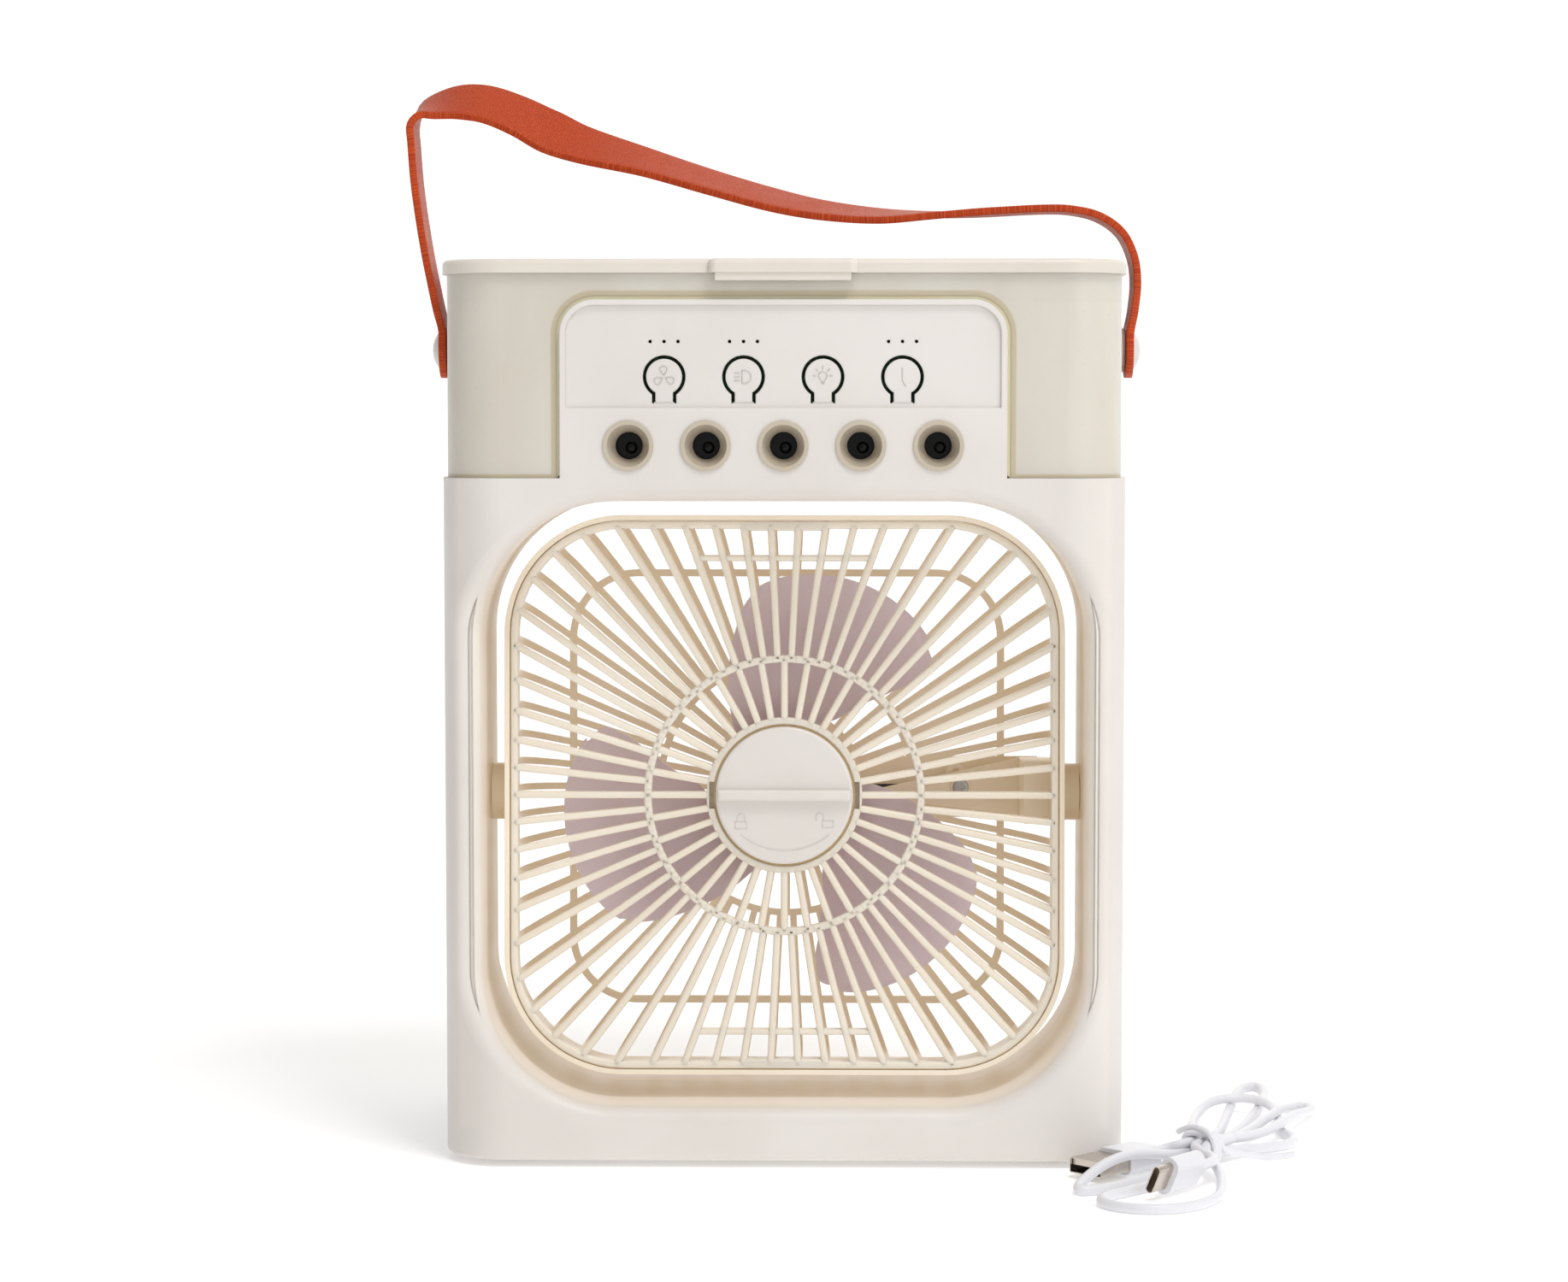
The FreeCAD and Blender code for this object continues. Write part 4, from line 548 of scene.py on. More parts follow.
def done():
    bpy.ops.object.mode_set(mode="OBJECT")


def copy_of(piece, name):
    """A copy with a mesh of its own."""
    made = piece.copy()
    made.data = piece.data.copy()
    made.name = name
    bpy.context.scene.collection.objects.link(made)
    return made


def joined(name, pieces):
    nothing_selected()
    for piece in pieces:
        piece.select_set(True)
    bpy.context.view_layer.objects.active = pieces[0]
    bpy.ops.object.join()
    pieces[0].name = name
    return pieces[0]


def applied(piece, kind, **settings):
    """Adds a modifier and applies it at once."""
    nothing_selected()
    bpy.context.view_layer.objects.active = piece
    piece.select_set(True)
    modifier = piece.modifiers.new(kind.title(), kind)
    for key, value in settings.items():
        setattr(modifier, key, value)
    bpy.ops.object.modifier_apply(modifier=modifier.name)
    return piece


def smooth(piece, degrees=35):
    nothing_selected()
    piece.select_set(True)
    bpy.context.view_layer.objects.active = piece
    bpy.ops.object.shade_smooth_by_angle(angle=math.radians(degrees))


def finished(piece, material, body, replaced=()):
    dress(piece, material)
    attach(piece, body)
    if replaced:
        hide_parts(*replaced)
    print(f"{piece.name}: {len(piece.data.vertices)} vertices")
    return piece


# %% [markdown]
# ## The front grille
# The grille is one moulding: a rounded-square frame, two rings, and bars that run out from the
# hub like rays. Moulded bars are narrower and rounded at the front, because the tool has to
# pull off them, and that is what catches the light. One bar is modelled and copied round. Three
# small steps of bevel are enough, since there are nearly a hundred of them.

# %% Sizes of the grille, in the cage's own frame
PIVOT = Vector((0, -0.013, PIVOT_Z))
REST_TILT = math.radians(-3)
GRILLE_FRONT, BAR_DEPTH, BAR_W = -23.0, 3.4, 2.2
BAR_DRAFT, BAR_R, HUB_DEEPER = 0.84, 0.55, 1.5
FRAME_HALF, FRAME_W, FRAME_R, FRAME_DEPTH = 80.8, 2.1, 33.2, 8.0
RING_AT, HUB_IN, HUB_OUT, CAP_R = 40.3, 20.9, 23.0, 20.3
OUTER_BARS, INNER_BARS = 62, 36
BAR_BACK = GRILLE_FRONT + BAR_DEPTH


def seated(piece):
    """From the cage's own frame to its place, tilted as it rests."""
    piece.data.transform(Matrix.Translation(PIVOT) @ Matrix.Rotation(REST_TILT, 4, "X"))
    return piece


def frame_reach(angle):
    """How far out the rounded-square frame is in that direction."""
    inner = FRAME_HALF - FRAME_W / 2
    corner = inner - FRAME_R
    c, s = abs(math.cos(angle)), abs(math.sin(angle))
    straight = inner / max(c, s)
    if min(c, s) * straight <= corner:
        return straight
    along = corner * (c + s)
    return along + math.sqrt(along**2 - 2 * corner**2 + FRAME_R**2)


# %% One bar, rounded at the front
bar = block("bar", (0, 1), (GRILLE_FRONT, BAR_BACK), (-BAR_W / 2, BAR_W / 2))
pick(bar, lambda points: all(p.y < GRILLE_FRONT + 0.01 for p in points), "FACE")
bpy.ops.transform.resize(value=(1, 1, BAR_DRAFT))
pick(bar, lambda points: all(p.y < GRILLE_FRONT + 0.01 for p in points)
     and abs(points[0].x - points[1].x) > 0.5)
bpy.ops.mesh.bevel(offset=BAR_R * MM, segments=3, affect="EDGES")
pick(bar, lambda points: max(p.x for p in points) - min(p.x for p in points) < 0.01, "FACE")
bpy.ops.mesh.delete(type="FACE")
done()


def ray(start_r, end_r, angle):
    """A copy of the bar, stretched between two radii and turned about the hub."""
    made = copy_of(bar, "ray")
    stretch = Matrix.Diagonal((end_r - start_r, 1, 1, 1))
    out = Matrix.Translation(mm(start_r, 0, 0))
    made.data.transform(Matrix.Rotation(angle, 4, "Y") @ out @ stretch)
    return made


rays = []
for number in range(OUTER_BARS):
    angle = 2 * math.pi * number / OUTER_BARS
    rays.append(ray(RING_AT, frame_reach(angle), angle))
for number in range(INNER_BARS):
    rays.append(ray(HUB_OUT - 0.6, RING_AT, 2 * math.pi * number / INNER_BARS))
print("bars", len(rays))


# %% [markdown]
# The rings are turned shapes: a small section is drawn beside the axis and spun round it. The
# spin can leave its faces looking inwards, so the doubles are merged and the normals set after.


# %% Rings by spinning a section
def ring(name, r_in, r_out, y0, y1, round_front, steps=144):
    """A turned ring between two radii and two depths, rounded at the front by round_front."""
    piece = start(name, "plane", size=1, rotation=(math.pi / 2, 0, 0), location=(0, 0, 0))
    middle = Matrix.Translation(mm((r_in + r_out) / 2, 0, 0))
    piece.data.transform(middle @ Matrix.Diagonal((*mm(r_out - r_in, 1, y1 - y0), 1)))
    lying = Matrix(((1, 0, 0, 0), (0, 0, 1, 0), (0, 1, 0, 0), (0, 0, 0, 1)))
    piece.data.transform(Matrix.Translation(mm(0, (y0 + y1) / 2, 0)) @ lying)
    pick(piece, lambda points: points[0].y < y0 + 0.01, "VERT")
    if round_front:
        bpy.ops.mesh.bevel(offset=round_front * MM, segments=3, affect="VERTICES")
    bpy.ops.mesh.select_all(action="SELECT")
    bpy.ops.mesh.spin(steps=steps, angle=2 * math.pi, center=(0, 0, 0), axis=(0, 1, 0))
    bpy.ops.mesh.select_all(action="SELECT")
    bpy.ops.mesh.remove_doubles(threshold=0.000002)
    bpy.ops.mesh.normals_make_consistent(inside=False)
    done()
    return piece


mid_ring = ring("mid_ring", RING_AT - 1.1, RING_AT + 1.1, GRILLE_FRONT, BAR_BACK, BAR_R)
hub_ring = ring("hub_ring", HUB_IN, HUB_OUT, GRILLE_FRONT, BAR_BACK + HUB_DEEPER, 0.5)
# A tan ring sunk in the gap round the cap paints the gap's warm shade.
cap_gap_painted_shade = ring("cap_gap_painted_shade", CAP_R + 0.04, HUB_IN - 0.04, GRILLE_FRONT + 0.3, BAR_BACK, 0)
hub_plate = ring("hub_plate", 3.5, HUB_OUT - 0.2, BAR_BACK, BAR_BACK + HUB_DEEPER, 0)
NOTCH_IN, NOTCH_OUT, NOTCH_HALF = 20.4, 22.2, 4
for side in (-1, 1):
    x = sorted((side * NOTCH_IN, side * NOTCH_OUT))
    notch = block("notch", x, (GRILLE_FRONT - 1, BAR_BACK + 3), (-NOTCH_HALF, NOTCH_HALF))
    applied(hub_ring, "BOOLEAN", object=notch, operation="DIFFERENCE", solver="EXACT")
    bpy.data.objects.remove(notch)


# %% [markdown]
# The frame starts as one square face. Its corners are rounded, it is inset by the frame's width,
# the middle is thrown away, and the rest is pulled back to its depth.


# %% The rounded-square frame
def square_frame(name, half, width, r, y0, y1, round_front):
    piece = start(name, "plane", size=2 * half * MM, rotation=(math.pi / 2, 0, 0),
                  location=mm(0, y0, 0))
    pick(piece, lambda points: True, "VERT")
    bpy.ops.mesh.bevel(offset=r * MM, segments=14, affect="VERTICES")
    pick(piece, lambda points: True, "FACE")
    bpy.ops.mesh.inset(thickness=width * MM, depth=0)
    bpy.ops.mesh.delete(type="FACE")
    pick(piece, lambda points: True, "FACE")
    bpy.ops.mesh.extrude_region_move(TRANSFORM_OT_translate={"value": mm(0, y1 - y0, 0)})
    bpy.ops.mesh.select_all(action="SELECT")
    bpy.ops.mesh.normals_make_consistent(inside=False)
    done()
    applied(piece, "BEVEL", width=round_front * MM, segments=3, limit_method="ANGLE",
            angle_limit=math.radians(60))
    return piece


outer_frame = square_frame("outer_frame", FRAME_HALF, FRAME_W, FRAME_R, GRILLE_FRONT,
                           GRILLE_FRONT + FRAME_DEPTH, 0.6)

# %% Cross bars and clip tabs
CHORD_HALF, CHORD_Z, CLIP_HALF, CLIP_T = 25.6, 70, 12.5, 2.4
extras = []
for z in (-CHORD_Z, CHORD_Z):
    chord = copy_of(bar, "chord")
    stretch = Matrix.Diagonal((2 * CHORD_HALF, 1, 0.85, 1))
    chord.data.transform(Matrix.Translation(mm(-CHORD_HALF, 0.4, z)) @ stretch)
    extras.append(chord)
for z in (-FRAME_HALF + 0.3, FRAME_HALF - CLIP_T - 0.3):
    y = (GRILLE_FRONT + 0.2, GRILLE_FRONT + FRAME_DEPTH)
    clip = block("clip", (-CLIP_HALF, CLIP_HALF), y, (z, z + CLIP_T))
    applied(clip, "BEVEL", width=0.6 * MM, segments=3)
    extras.append(clip)
front_grille = joined("grille_front", rays + [mid_ring, hub_ring, hub_plate, outer_frame] + extras)
bpy.data.objects.remove(bar)
seated(front_grille)
smooth(front_grille, 40)
finished(front_grille, cage_abs, "cage", ["front_grille"])
# The ring in the cap's gap is tan: painted shade.
gold = soft("gold_shadow", tone(196, 168, 120), tone(172, 142, 96), 0.5, 400, 0.00001)
smooth(seated(cap_gap_painted_shade), 40)
finished(cap_gap_painted_shade, gold, "cage")

# %% [markdown]
# ## The lead's cover
# The motor's lead leaves through the right trunnion, and a wedge-shaped cover hides it from the
# hub to the frame. One cross-head screw holds it. The engineering model has a plain plate, so
# this one takes its place: a block, its hub end narrowed, its edges rounded.

# %% Cover and screw
COVER_FRONT, COVER_HUB, COVER_WALL, COVER_FRAME = 21.4, 24.0, 71.2, 80.4
COVER_T, COVER_LOW, COVER_TOP, RISER_BEHIND = 1.6, -8.6, 9.4, -6
SCREW_X, SCREW_Z, SEAT_R, HEAD_R, SLOT_LONG, SLOT_W = 53.4, 0.2, 3.2, 2.4, 2.9, 0.7
cover = block("cover", (COVER_HUB, COVER_WALL + 1), (COVER_FRONT, COVER_FRONT + COVER_T),
              (COVER_LOW, COVER_TOP))
pick(cover, lambda points: all(p.x < COVER_HUB + 0.01 for p in points), "FACE")
bpy.ops.transform.resize(value=(1, 1, 0.1))
bpy.ops.transform.translate(value=mm(0, 0, -2.5))
done()
riser = block("riser", (COVER_WALL, COVER_FRAME), (RISER_BEHIND, COVER_FRONT + COVER_T),
              (-COVER_TOP, COVER_TOP))
for piece in (cover, riser):
    applied(piece, "BEVEL", width=0.6 * MM, segments=3)
seat = start("seat", "cylinder", vertices=48, radius=SEAT_R * MM, depth=0.8 * MM,
             rotation=(math.pi / 2, 0, 0), location=mm(SCREW_X, COVER_FRONT - 0.2, SCREW_Z))
applied(seat, "BEVEL", width=0.25 * MM, segments=2, limit_method="ANGLE")
cover = seated(joined("lead_cover_plate", [cover, riser, seat]))
smooth(cover, 40)
# The cover takes the cage copy with painted light as well.
finished(cover, cage_back_painted_light, "cage", ["lead_cover"])
head = start("head", "cylinder", vertices=48, radius=HEAD_R * MM, depth=1.0 * MM,
             rotation=(math.pi / 2, 0, 0), location=mm(SCREW_X, COVER_FRONT - 0.9, SCREW_Z))
applied(head, "BEVEL", width=0.3 * MM, segments=3, limit_method="ANGLE")
for wide, high in ((SLOT_LONG, SLOT_W), (SLOT_W, SLOT_LONG)):
    slot = block("slot", (SCREW_X - wide / 2, SCREW_X + wide / 2),
                 (COVER_FRONT - 2, COVER_FRONT - 0.7), (SCREW_Z - high / 2, SCREW_Z + high / 2))
    applied(head, "BOOLEAN", object=slot, operation="DIFFERENCE", solver="EXACT")
    bpy.data.objects.remove(slot)
head.name = "cross_screw"
smooth(seated(head), 40)
finished(head, zinc_steel, "cage", ["lead_cover_screw"])

# %% [markdown]
# ## The carry strap
# The real strap is a strip of split leather, punched at both ends and pressed over two studs.
# So it is made as it would be cut: flat, with half-round ends, and then laid along its line,
# leaning where the leather twists. Solidify gives it its thickness, and each side and the cut
# edge get their own leather: pebbled outside, napped inside, burnished round the rim.

# %% Leather
OUTSIDE = tone(200, 76, 26), tone(168, 50, 11)


def leather_place(finish):
    """Along and across the strip in metres, so that the grain isn't stretched."""
    return finish.node("ShaderNodeUVMap", {"uv_map": "UVMap"}, {})


hide = Finish("pebbled_leather", "UV")
pebble = hide.cells(1500, "SMOOTH_F1", leather_place(hide))
crease = hide.cells(1500, "DISTANCE_TO_EDGE", leather_place(hide)).smooth(0.0, 0.16)
tone_drift = hide.noise(55, 3, 0.6, leather_place(hide))
hide.set(
    # The grain is painted darker in its creases and lighter on its pebbles: painted shade and
    # highlight over the leather's drift of tone.
    Base_Color=hide.blend(crease * 0.75 + tone_drift * 0.25, OUTSIDE[1], OUTSIDE[0]),
    Roughness=0.5 + (tone_drift - 0.5) * 0.3 - crease * 0.08,
    Normal=hide.relief(crease * 0.7 - pebble * 0.6, 0.00016),
    Specular_IOR_Level=0.25,
)
nap = Finish("napped_leather", "UV")
fluff = nap.noise(2600, 4, 0.7, leather_place(nap))
brushed = nap.noise(1, 3, 0.6, nap.stretched(90, 900, 1, leather_place(nap)))
nap.set(
    Base_Color=nap.blend(fluff * 0.5 + brushed * 0.5, tone(158, 76, 42), tone(194, 114, 76)),
    Roughness=0.82 + (fluff - 0.5) * 0.2,
    Normal=nap.relief(fluff, 0.00008),
    Sheen_Weight=0.25,
)
rim = Finish("burnished_edge")
fibres = rim.noise(1700, 4, 0.75)
dots = rim.cells(900).smooth(0.2, 0.6)
rim.set(
    Base_Color=rim.blend(fibres * 0.6 + dots * 0.4, tone(118, 40, 16), tone(196, 92, 48)),
    Roughness=0.66 + (fibres - 0.5) * 0.3,
    Normal=rim.relief(fibres, 0.0002),
)

# %% The strap's line
STRAP_W, STRAP_T, STRAP_END = 18.0, 2.2, 9.0
STUD_X, STUD_Z, STUD_HOLE, RIM_R = 103.25, 238.0, 3.05, 0.35
# Middle of the strap from the left stud over to the right one: x, z, and how high its face
# looks from the front where it leans.
STRAP_LINE = [
    (-STUD_X, 229.6, 0.0), (-STUD_X, 240.0, 0.0), (-103.3, 244.0, 0.0), (-104.6, 249.0, 0.0),
    (-105.7, 254.0, 0.0), (-108.6, 269.0, 0.0),
    (-111.2, 287.0, 0.0), (-112.2, 300.0, 0.0), (-112.4, 305.5, 1.0), (-109.6, 309.8, 5.0),
    (-104.4, 311.6, 8.0), (-97.6, 312.6, 10.0), (-89.8, 311.8, 11.0), (-80.4, 308.3, 12.0),
    (-71.1, 303.6, 13.0), (-61.5, 299.8, 11.0), (-42.6, 294.6, 8.2), (-22.4, 288.4, 7.0),
    (-4.0, 283.2, 6.4), (10.5, 280.2, 5.2), (28.0, 278.4, 3.6), (44.5, 278.6, 1.2),
    (61.1, 279.4, 0.0), (77.7, 280.2, 0.0), (85.9, 279.9, 0.0), (94.0, 277.9, 0.0),
    (100.6, 273.2, 0.0), (104.2, 266.2, 0.0), (105.3, 258.5, 0.0), (104.6, 250.0, 0.0),
    (103.95, 246.5, 0.0), (103.3, 243.0, 0.0), (STUD_X, 239.5, 0.0), (STUD_X, 229.6, 0.0),
]


def strap_stations():
    """How far along each point of the line is, in millimetres, with the point as a vector."""
    reached, stations = 0.0, []
    for number, place in enumerate(STRAP_LINE):
        if number:
            before = STRAP_LINE[number - 1]
            reached += math.hypot(place[0] - before[0], place[1] - before[1])
        stations.append((reached, Vector(place)))
    return stations


STATIONS = strap_stations()
STRAP_LONG = STATIONS[-1][0]


def on_strap(distance):
    """The middle line at a distance along it, as a smooth curve through the stations."""
    number = 1
    while number < len(STATIONS) - 1 and STATIONS[number][0] < distance:
        number += 1
    (s0, p0), (s1, p1) = STATIONS[number - 1], STATIONS[number]
    before, after = STATIONS[max(number - 2, 0)], STATIONS[min(number + 1, len(STATIONS) - 1)]
    slope0 = (p1 - before[1]) / (s1 - before[0]) * (s1 - s0)
    slope1 = (after[1] - p0) / (after[0] - s0) * (s1 - s0)
    t = (distance - s0) / (s1 - s0)
    return (p0 * (2 * t**3 - 3 * t**2 + 1) + slope0 * (t**3 - 2 * t**2 + t)
            + p1 * (3 * t**2 - 2 * t**3) + slope1 * (t**3 - t**2))


# %% The strip, cut flat and laid along its line
ROWS, COLUMNS = 260, 8
strip = start("strip", "grid", x_subdivisions=ROWS, y_subdivisions=COLUMNS, size=1)
pattern = strip.data.uv_layers.active.data
for loop in strip.data.loops:
    flat = strip.data.vertices[loop.vertex_index].co
    pattern[loop.index].uv = ((flat.x + 0.5) * STRAP_LONG * MM, flat.y * STRAP_W * MM)
for vertex in strip.data.vertices:
    distance = (vertex.co.x + 0.5) * STRAP_LONG
    from_tip = min(distance, STRAP_LONG - distance) + 0.3
    half = STRAP_W / 2
    if from_tip < STRAP_END:
        half = math.sqrt(STRAP_END**2 - (STRAP_END - from_tip) ** 2)
    x, z, face = on_strap(distance)
    ahead, behind = on_strap(min(distance + 0.5, STRAP_LONG)), on_strap(max(distance - 0.5, 0))
    along = Vector((ahead.x - behind.x, 0, ahead.y - behind.y)).normalized()
    lean = math.asin(max(face, 0) / STRAP_W)
    across = Vector((0, math.cos(lean), math.sin(lean)))
    across = (across - along * across.dot(along)).normalized()
    vertex.co = mm(x, 0, z) + across * (2 * half * vertex.co.y * MM)
applied(strip, "SOLIDIFY", thickness=STRAP_T * MM, offset=0, use_even_offset=True,
        material_offset=1, material_offset_rim=2)
for leather in (hide.material, nap.material, rim.material):
    strip.data.materials.append(leather)
print("strap cut", round(STRAP_LONG, 1), "mm long, and", STRAP_W, "mm wide")

# %% Rounded rim and punched holes
applied(strip, "BEVEL", width=RIM_R * MM, segments=2, limit_method="ANGLE",
        angle_limit=math.radians(60))
for side in (-1, 1):
    punch = start("punch", "cylinder", vertices=48, radius=STUD_HOLE * MM, depth=0.02,
                  rotation=(0, math.pi / 2, 0), location=mm(side * STUD_X, 0, STUD_Z))
    applied(strip, "BOOLEAN", object=punch, operation="DIFFERENCE", solver="EXACT")
    bpy.data.objects.remove(punch)
smooth(strip, 50)
strip.name = "leather_strap"
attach(strip, "strap")
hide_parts("carry_strap")

# %% [markdown]
# ## The seam round the panel
# The tank wraps round the panel with a small gap. On the real thing the tank's own edge lights
# up tan in there, because the light travels inside the plastic, so the gap never looks black.
# One flat tan arch paints that light into the gap: a plate with two rounded corners, inset by the
# gap, its middle and foot thrown away, and the rest given depth.

# %% Seam
SEAM_W = 0.9
seam_half, seam_top = PANEL_HALF + SEAM_W, PANEL_TOP + SEAM_W
seam = start("seam", "plane", size=1, rotation=(math.pi / 2, 0, 0))
seam.data.transform(Matrix.Translation(mm(0, -56.6, (DECK_Z + seam_top) / 2))
                    @ Matrix.Diagonal((2 * seam_half * MM, 1, (seam_top - DECK_Z) * MM, 1)))
pick(seam, lambda points: points[0].z > seam_top - 0.01, "VERT")
bpy.ops.mesh.bevel(offset=(PANEL_R + SEAM_W) * MM, segments=12, affect="VERTICES")
pick(seam, lambda points: True, "FACE")
bpy.ops.mesh.inset(thickness=SEAM_W * MM, depth=0)
bpy.ops.mesh.delete(type="FACE")
pick(seam, lambda points: all(p.z < DECK_Z + SEAM_W + 0.05 for p in points), "FACE")
bpy.ops.mesh.delete(type="FACE")
pick(seam, lambda points: True, "FACE")
bpy.ops.mesh.extrude_region_move(TRANSFORM_OT_translate={"value": mm(0, 3, 0)})
bpy.ops.mesh.select_all(action="SELECT")
bpy.ops.mesh.normals_make_consistent(inside=False)
done()
# The arch's tan is painted light, for light carried inside the tank's plastic.
painted_glow = Finish("seam_painted_light")
drift = painted_glow.noise(60, 3)
painted_glow.set(Base_Color=painted_glow.blend(drift, tone(214, 197, 160), tone(226, 212, 182)),
         Roughness=0.35 + (drift - 0.5) * 0.2, Subsurface_Weight=0.3, Subsurface_Scale=0.003,
         Normal=painted_glow.relief(drift, 0.00001, 0.0002))
finished(seam, painted_glow.material, "housing")

# %% [markdown]
# The buttons are cut out of the panel but hang on a living hinge at the foot. The engineering
# model needs a hair of gap there for its joint, and a small web closes it again.

# %% Button roots
BUTTON_AT = {"fan": -34.2, "mist": -11.4, "light": 11.4, "timer": 34.2}
WEB_HALF, WEB_Y, WEB_Z = 2.9, (-57.18, -55.8), (221.75, 222.35)
webs = [block("web", (x - WEB_HALF, x + WEB_HALF), WEB_Y, WEB_Z) for x in BUTTON_AT.values()]
button_webs = joined("button_webs", webs)
finished(button_webs, housing_abs, "housing")

# %% [markdown]
# Down each nozzle sits a barrel painted near black, painted shade for the dark of the deep hole,
# with a small domed lens of glossy plastic over the mist disc. The barrel is a cylinder with its
# front face inset and pushed in, and the lens is a sphere, flattened, with half of it below the
# barrel's floor. One is made and copied into the other four.

# %% Mist barrels
NOZZLE_Z, NOZZLE_PITCH = 209.8, 22.3
BARREL_FRONT, BARREL_LENGTH, BARREL_R, BARREL_WALL, BARREL_DEEP = -51.6, 2.2, 3.9, 0.25, 1.8
LENS_R, LENS_OFF = 1.7, 0.6
barrel = start("barrel", "cylinder", vertices=64, radius=BARREL_R * MM, depth=BARREL_LENGTH * MM,
               rotation=(math.pi / 2, 0, 0), location=mm(0, BARREL_FRONT + BARREL_LENGTH / 2, 0))
pick(barrel, lambda points: all(p.y < BARREL_FRONT + 0.01 for p in points), "FACE")
bpy.ops.mesh.inset(thickness=BARREL_WALL * MM, depth=0)
bpy.ops.mesh.extrude_region_move(TRANSFORM_OT_translate={"value": mm(0, BARREL_DEEP, 0)})
done()
lens = start("lens", "uv_sphere", segments=32, ring_count=16, radius=LENS_R * MM)
on_floor = Matrix.Translation(mm(LENS_OFF, BARREL_FRONT + BARREL_DEEP, -LENS_OFF))
lens.data.transform(on_floor @ Matrix.Diagonal((1, 0.5, 1, 1)))
eye = joined("eye", [barrel, lens])
eyes = []
for number in range(5):
    made = copy_of(eye, "eye")
    made.data.transform(Matrix.Translation(mm((number - 2) * NOZZLE_PITCH, 0, NOZZLE_Z)))
    eyes.append(made)
bpy.data.objects.remove(eye)
mist_eyes = joined("mist_barrels", eyes)
smooth(mist_eyes, 40)
# Near black and glossy: painted shade for the dark down the hole.
hole_painted_shade = Finish("glossy_black")
haze = hole_painted_shade.noise(700, 3)
hole_painted_shade.set(Base_Color=hole_painted_shade.blend(haze, tone(3, 3, 3), tone(9, 8, 7)), Roughness=0.2 + haze * 0.1,
        Normal=hole_painted_shade.relief(haze, 0.000004, 0.0001), Specular_IOR_Level=0.2)
finished(mist_eyes, hole_painted_shade.material, "housing")

# %% [markdown]
# ## Raised signs
# The signs on the buttons and on the lock cap are moulded ridges, not print: half-round lines
# that stand about a fifth of a millimetre proud. Each is drawn as strokes, given a round
# section, made a mesh and sunk halfway. Each rides with the button or cap that it is on.


# %% Strokes
def arc(x, z, r, first, last, steps=16):
    """Points on part of a circle, angles in degrees from the right, anticlockwise."""
    angles = [math.radians(first + (last - first) * step / steps) for step in range(steps + 1)]
    return [(x + r * math.cos(a), z + r * math.sin(a)) for a in angles]


def stroke(points, thick):
    """A half-round line through points (x, z) on the plane y = 0, as a mesh."""
    data = bpy.data.curves.new("stroke", "CURVE")
    data.dimensions = "3D"
    data.bevel_depth = thick / 2 * MM
    data.bevel_resolution = 2
    data.use_fill_caps = True
    spline = data.splines.new("POLY")
    spline.points.add(len(points) - 1)
    for point, (x, z) in zip(spline.points, points):
        point.co = (*mm(x, 0, z), 1)
    piece = bpy.data.objects.new("stroke", data)
    bpy.context.scene.collection.objects.link(piece)
    nothing_selected()
    piece.select_set(True)
    bpy.context.view_layer.objects.active = piece
    bpy.ops.object.convert(target="MESH")
    return bpy.context.object


def sign(name, strokes, thick, place, body, material, turned=None):
    piece = joined(name, [stroke(points, thick) for points in strokes])
    piece.data.transform(Matrix.Translation(mm(*place)))
    if turned:
        turned(piece)
    smooth(piece, 60)
    return finished(piece, material, body)


# %% Signs on the four buttons
BUTTON_FACE, BUTTON_Z, SIGN_LINE = -57.2, 229.6, 0.42


def petal(turn):
    """A fan blade as a closed loop: narrow at the middle, round and full at the tip."""
    loop = [(0.5, 0.0), (1.2, 0.42), (2.0, 0.52), (2.7, 0.46), (3.05, 0.22), (3.1, -0.05),
            (2.8, -0.32), (2.1, -0.42), (1.2, -0.34), (0.5, 0.0)]
    return [(r * math.cos(turn + swing), r * math.sin(turn + swing)) for r, swing in loop]


fan_sign = [petal(math.radians(90 + 120 * number)) for number in range(3)]
mist_sign = [arc(0.3, 0, 1.9, -110, 110), [(-0.35, -1.78), (-0.35, 1.78)]]
mist_sign += [[(-2.6, z), (-1.1, z)] for z in (-1.1, 0, 1.1)]
lamp_sign = [arc(0, 0.3, 1.2, -60, 240)]
lamp_sign += [[(-half, z), (half, z)] for half, z in ((0.55, -1.3), (0.45, -1.9))]
lamp_sign += [[(r * math.cos(a), 0.3 + r * math.sin(a)) for r in (1.9, 2.8)]
              for a in (math.radians(turn) for turn in (0, 45, 90, 135, 180))]
timer_sign = [[(0, 2.7), (0, -1.0), (1.0, -2.7)]]
for (name, x), strokes in zip(BUTTON_AT.items(), (fan_sign, mist_sign, lamp_sign, timer_sign)):
    sign(f"sign_{name}", strokes, SIGN_LINE, (x, BUTTON_FACE, BUTTON_Z), f"key_{name}",
         housing_abs)

# %% Signs on the lock cap
CAP_FACE = GRILLE_FRONT - 1.2


def padlock(x, z, wide, swung):
    corners = ((-wide, -1), (wide, -1), (wide, 1), (-wide, 1), (-wide, -1))
    body = [(x + right, z + up) for right, up in corners]
    shackle_x = x - 2 * wide * swung
    shackle = [(shackle_x - 1.1, z + 1)]
    shackle += arc(shackle_x, z + 2.2, 1.1, 180, 0) + [(shackle_x + 1.1, z + 1)]
    return [body, shackle]


lock_signs = padlock(-12.7, -8.7, 1.7, 0) + padlock(12.9, -8.4, 1.6, 0.75)
lock_signs.append(arc(0.3, 4.5, 20.6, 231, 309, 24))
sign("lock_signs", lock_signs, 0.35, (0, CAP_FACE, 0), "cap", cap_abs, seated)

# %% [markdown]
# ## Floor and light
# A pale floor that runs up into a backdrop, with large soft lamps: one high on the right for
# the brighter side, one in front, a weak warm one behind, and a bright surround. The floor glows
# a little, and the backdrop more, so it stays white while the contact shadows stay.

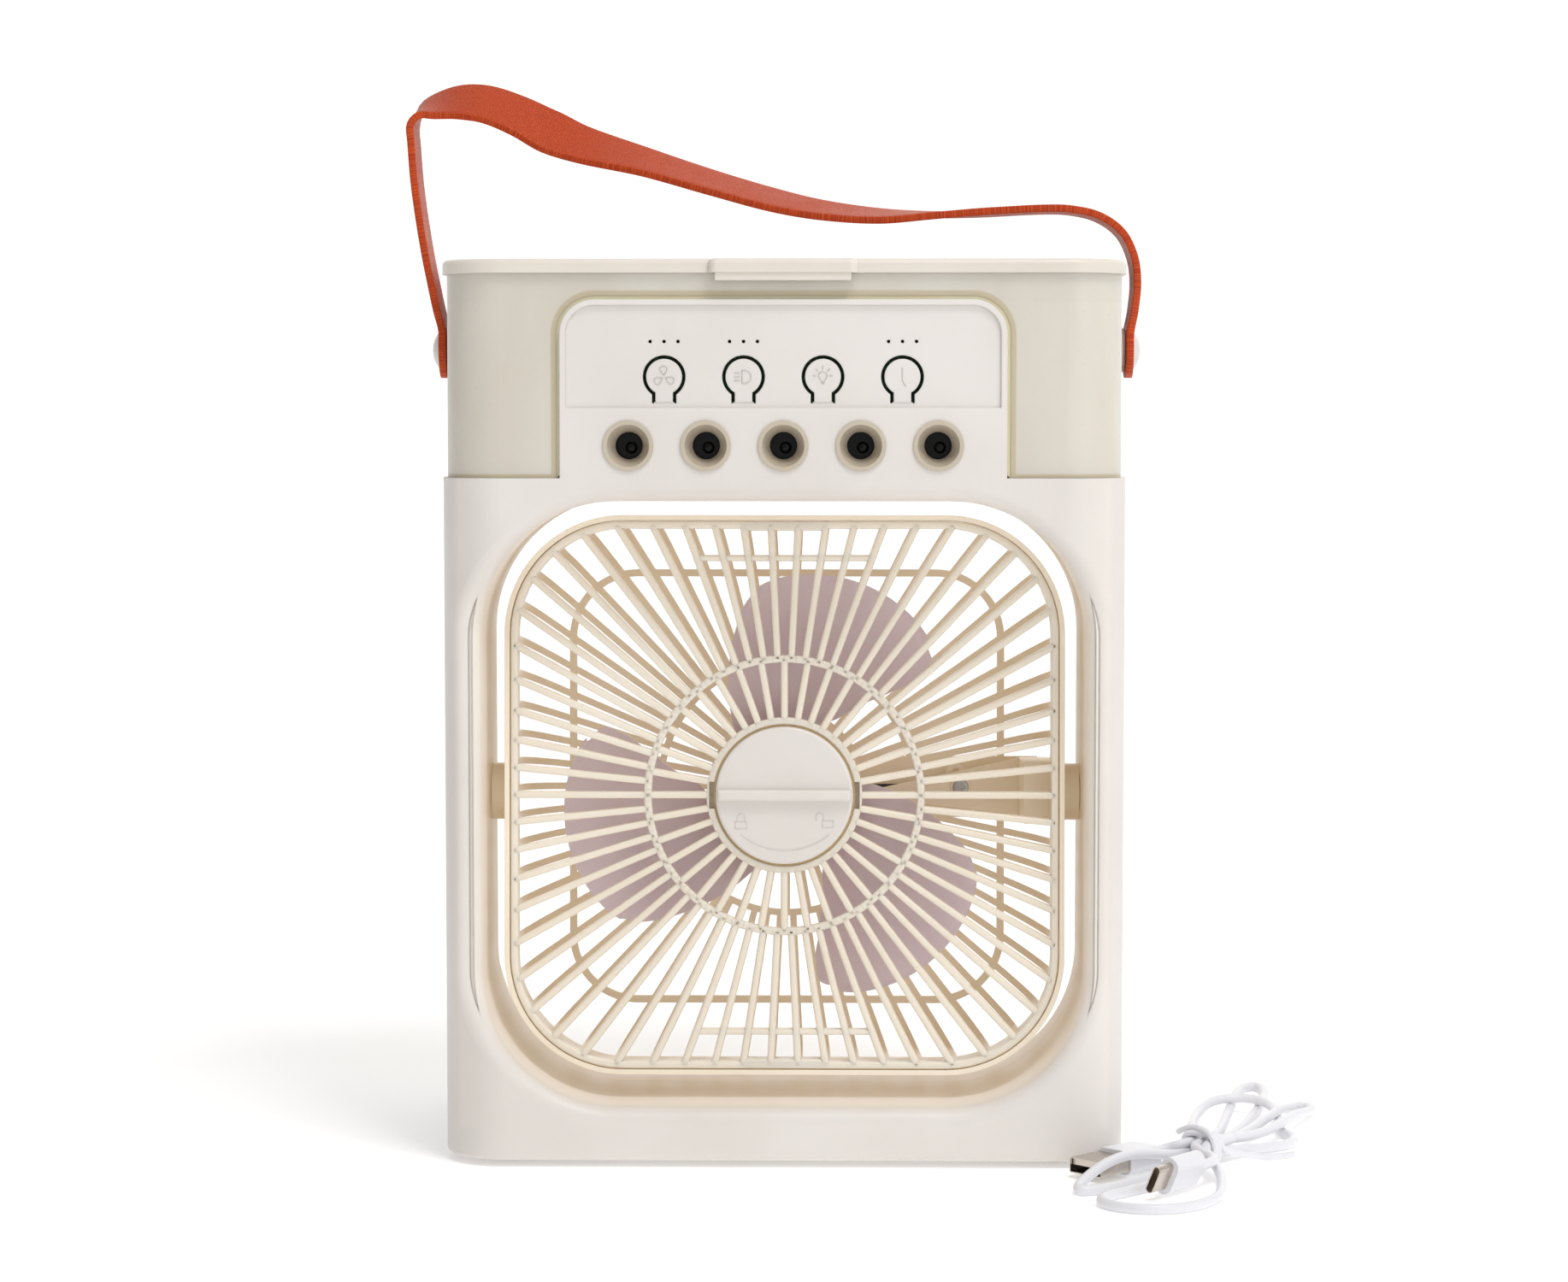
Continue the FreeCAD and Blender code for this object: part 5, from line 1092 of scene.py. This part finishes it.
# %% Floor and backdrop
floor = start("floor", "plane", size=8, location=(0, 0, 0))
pick(floor, lambda points: all(p.y > 3900 for p in points))
bpy.ops.mesh.extrude_region_move(TRANSFORM_OT_translate={"value": (0, 0, 4)})
pick(floor, lambda points: all(p.y > 3900 and p.z < 1 for p in points))
bpy.ops.mesh.bevel(offset=1.2, segments=12, affect="EDGES")
done()
smooth(floor, 60)
paper = Finish("white_paper")
depth = paper.axes()[1]
paper.set(Base_Color=paper.blend(paper.noise(3), tone(246, 245, 244), tone(252, 252, 252)),
          Roughness=0.8, Emission_Strength=0.35,
          Emission_Color=paper.blend(depth.smooth(0.2, 1.6), (0.74, 0.74, 0.74, 1), (1, 1, 1, 1)))
dress(floor, paper.material)

# %% Lamps
def lamp(name, place, size, power, colour=(1, 1, 1)):
    bpy.ops.object.light_add(type="AREA", location=place)
    made = bpy.context.object
    made.name = name
    made.data.shape = "RECTANGLE"
    made.data.size, made.data.size_y = size
    made.data.energy = power
    made.data.color = colour
    aim = Vector((0, 0, 0.14)) - Vector(place)
    made.rotation_euler = aim.to_track_quat("-Z", "Y").to_euler()
    return made


lamp("top", (0.32, -0.5, 1.25), (0.42, 0.42), 6.2)
lamp("front_right", (1.1, -1.6, 0.5), (1.0, 1.0), 3.2)
lamp("behind", (0.1, 0.8, 0.5), (0.8, 0.8), 0.7, (1.0, 0.88, 0.7))
world = bpy.data.worlds.new("surround")
bpy.context.scene.world = world
world.use_nodes = True
# The room is darker on the left, so the body's left side falls off.
sky = world.node_tree
aim = sky.nodes.new("ShaderNodeTexCoord")
sides = sky.nodes.new("ShaderNodeSeparateXYZ")
fall = sky.nodes.new("ShaderNodeMapRange")
sky.links.new(aim.outputs["Generated"], sides.inputs[0])
sky.links.new(sides.outputs["X"], fall.inputs["Value"])
for name, value in (("From Min", -1.0), ("From Max", 0.4), ("To Min", 0.27), ("To Max", 0.78)):
    fall.inputs[name].default_value = value
sky.links.new(fall.outputs[0], sky.nodes["Background"].inputs["Strength"])
sky.nodes["Background"].inputs["Color"].default_value = (1, 1, 1, 1)
bpy.context.scene.view_settings.view_transform = "Standard"
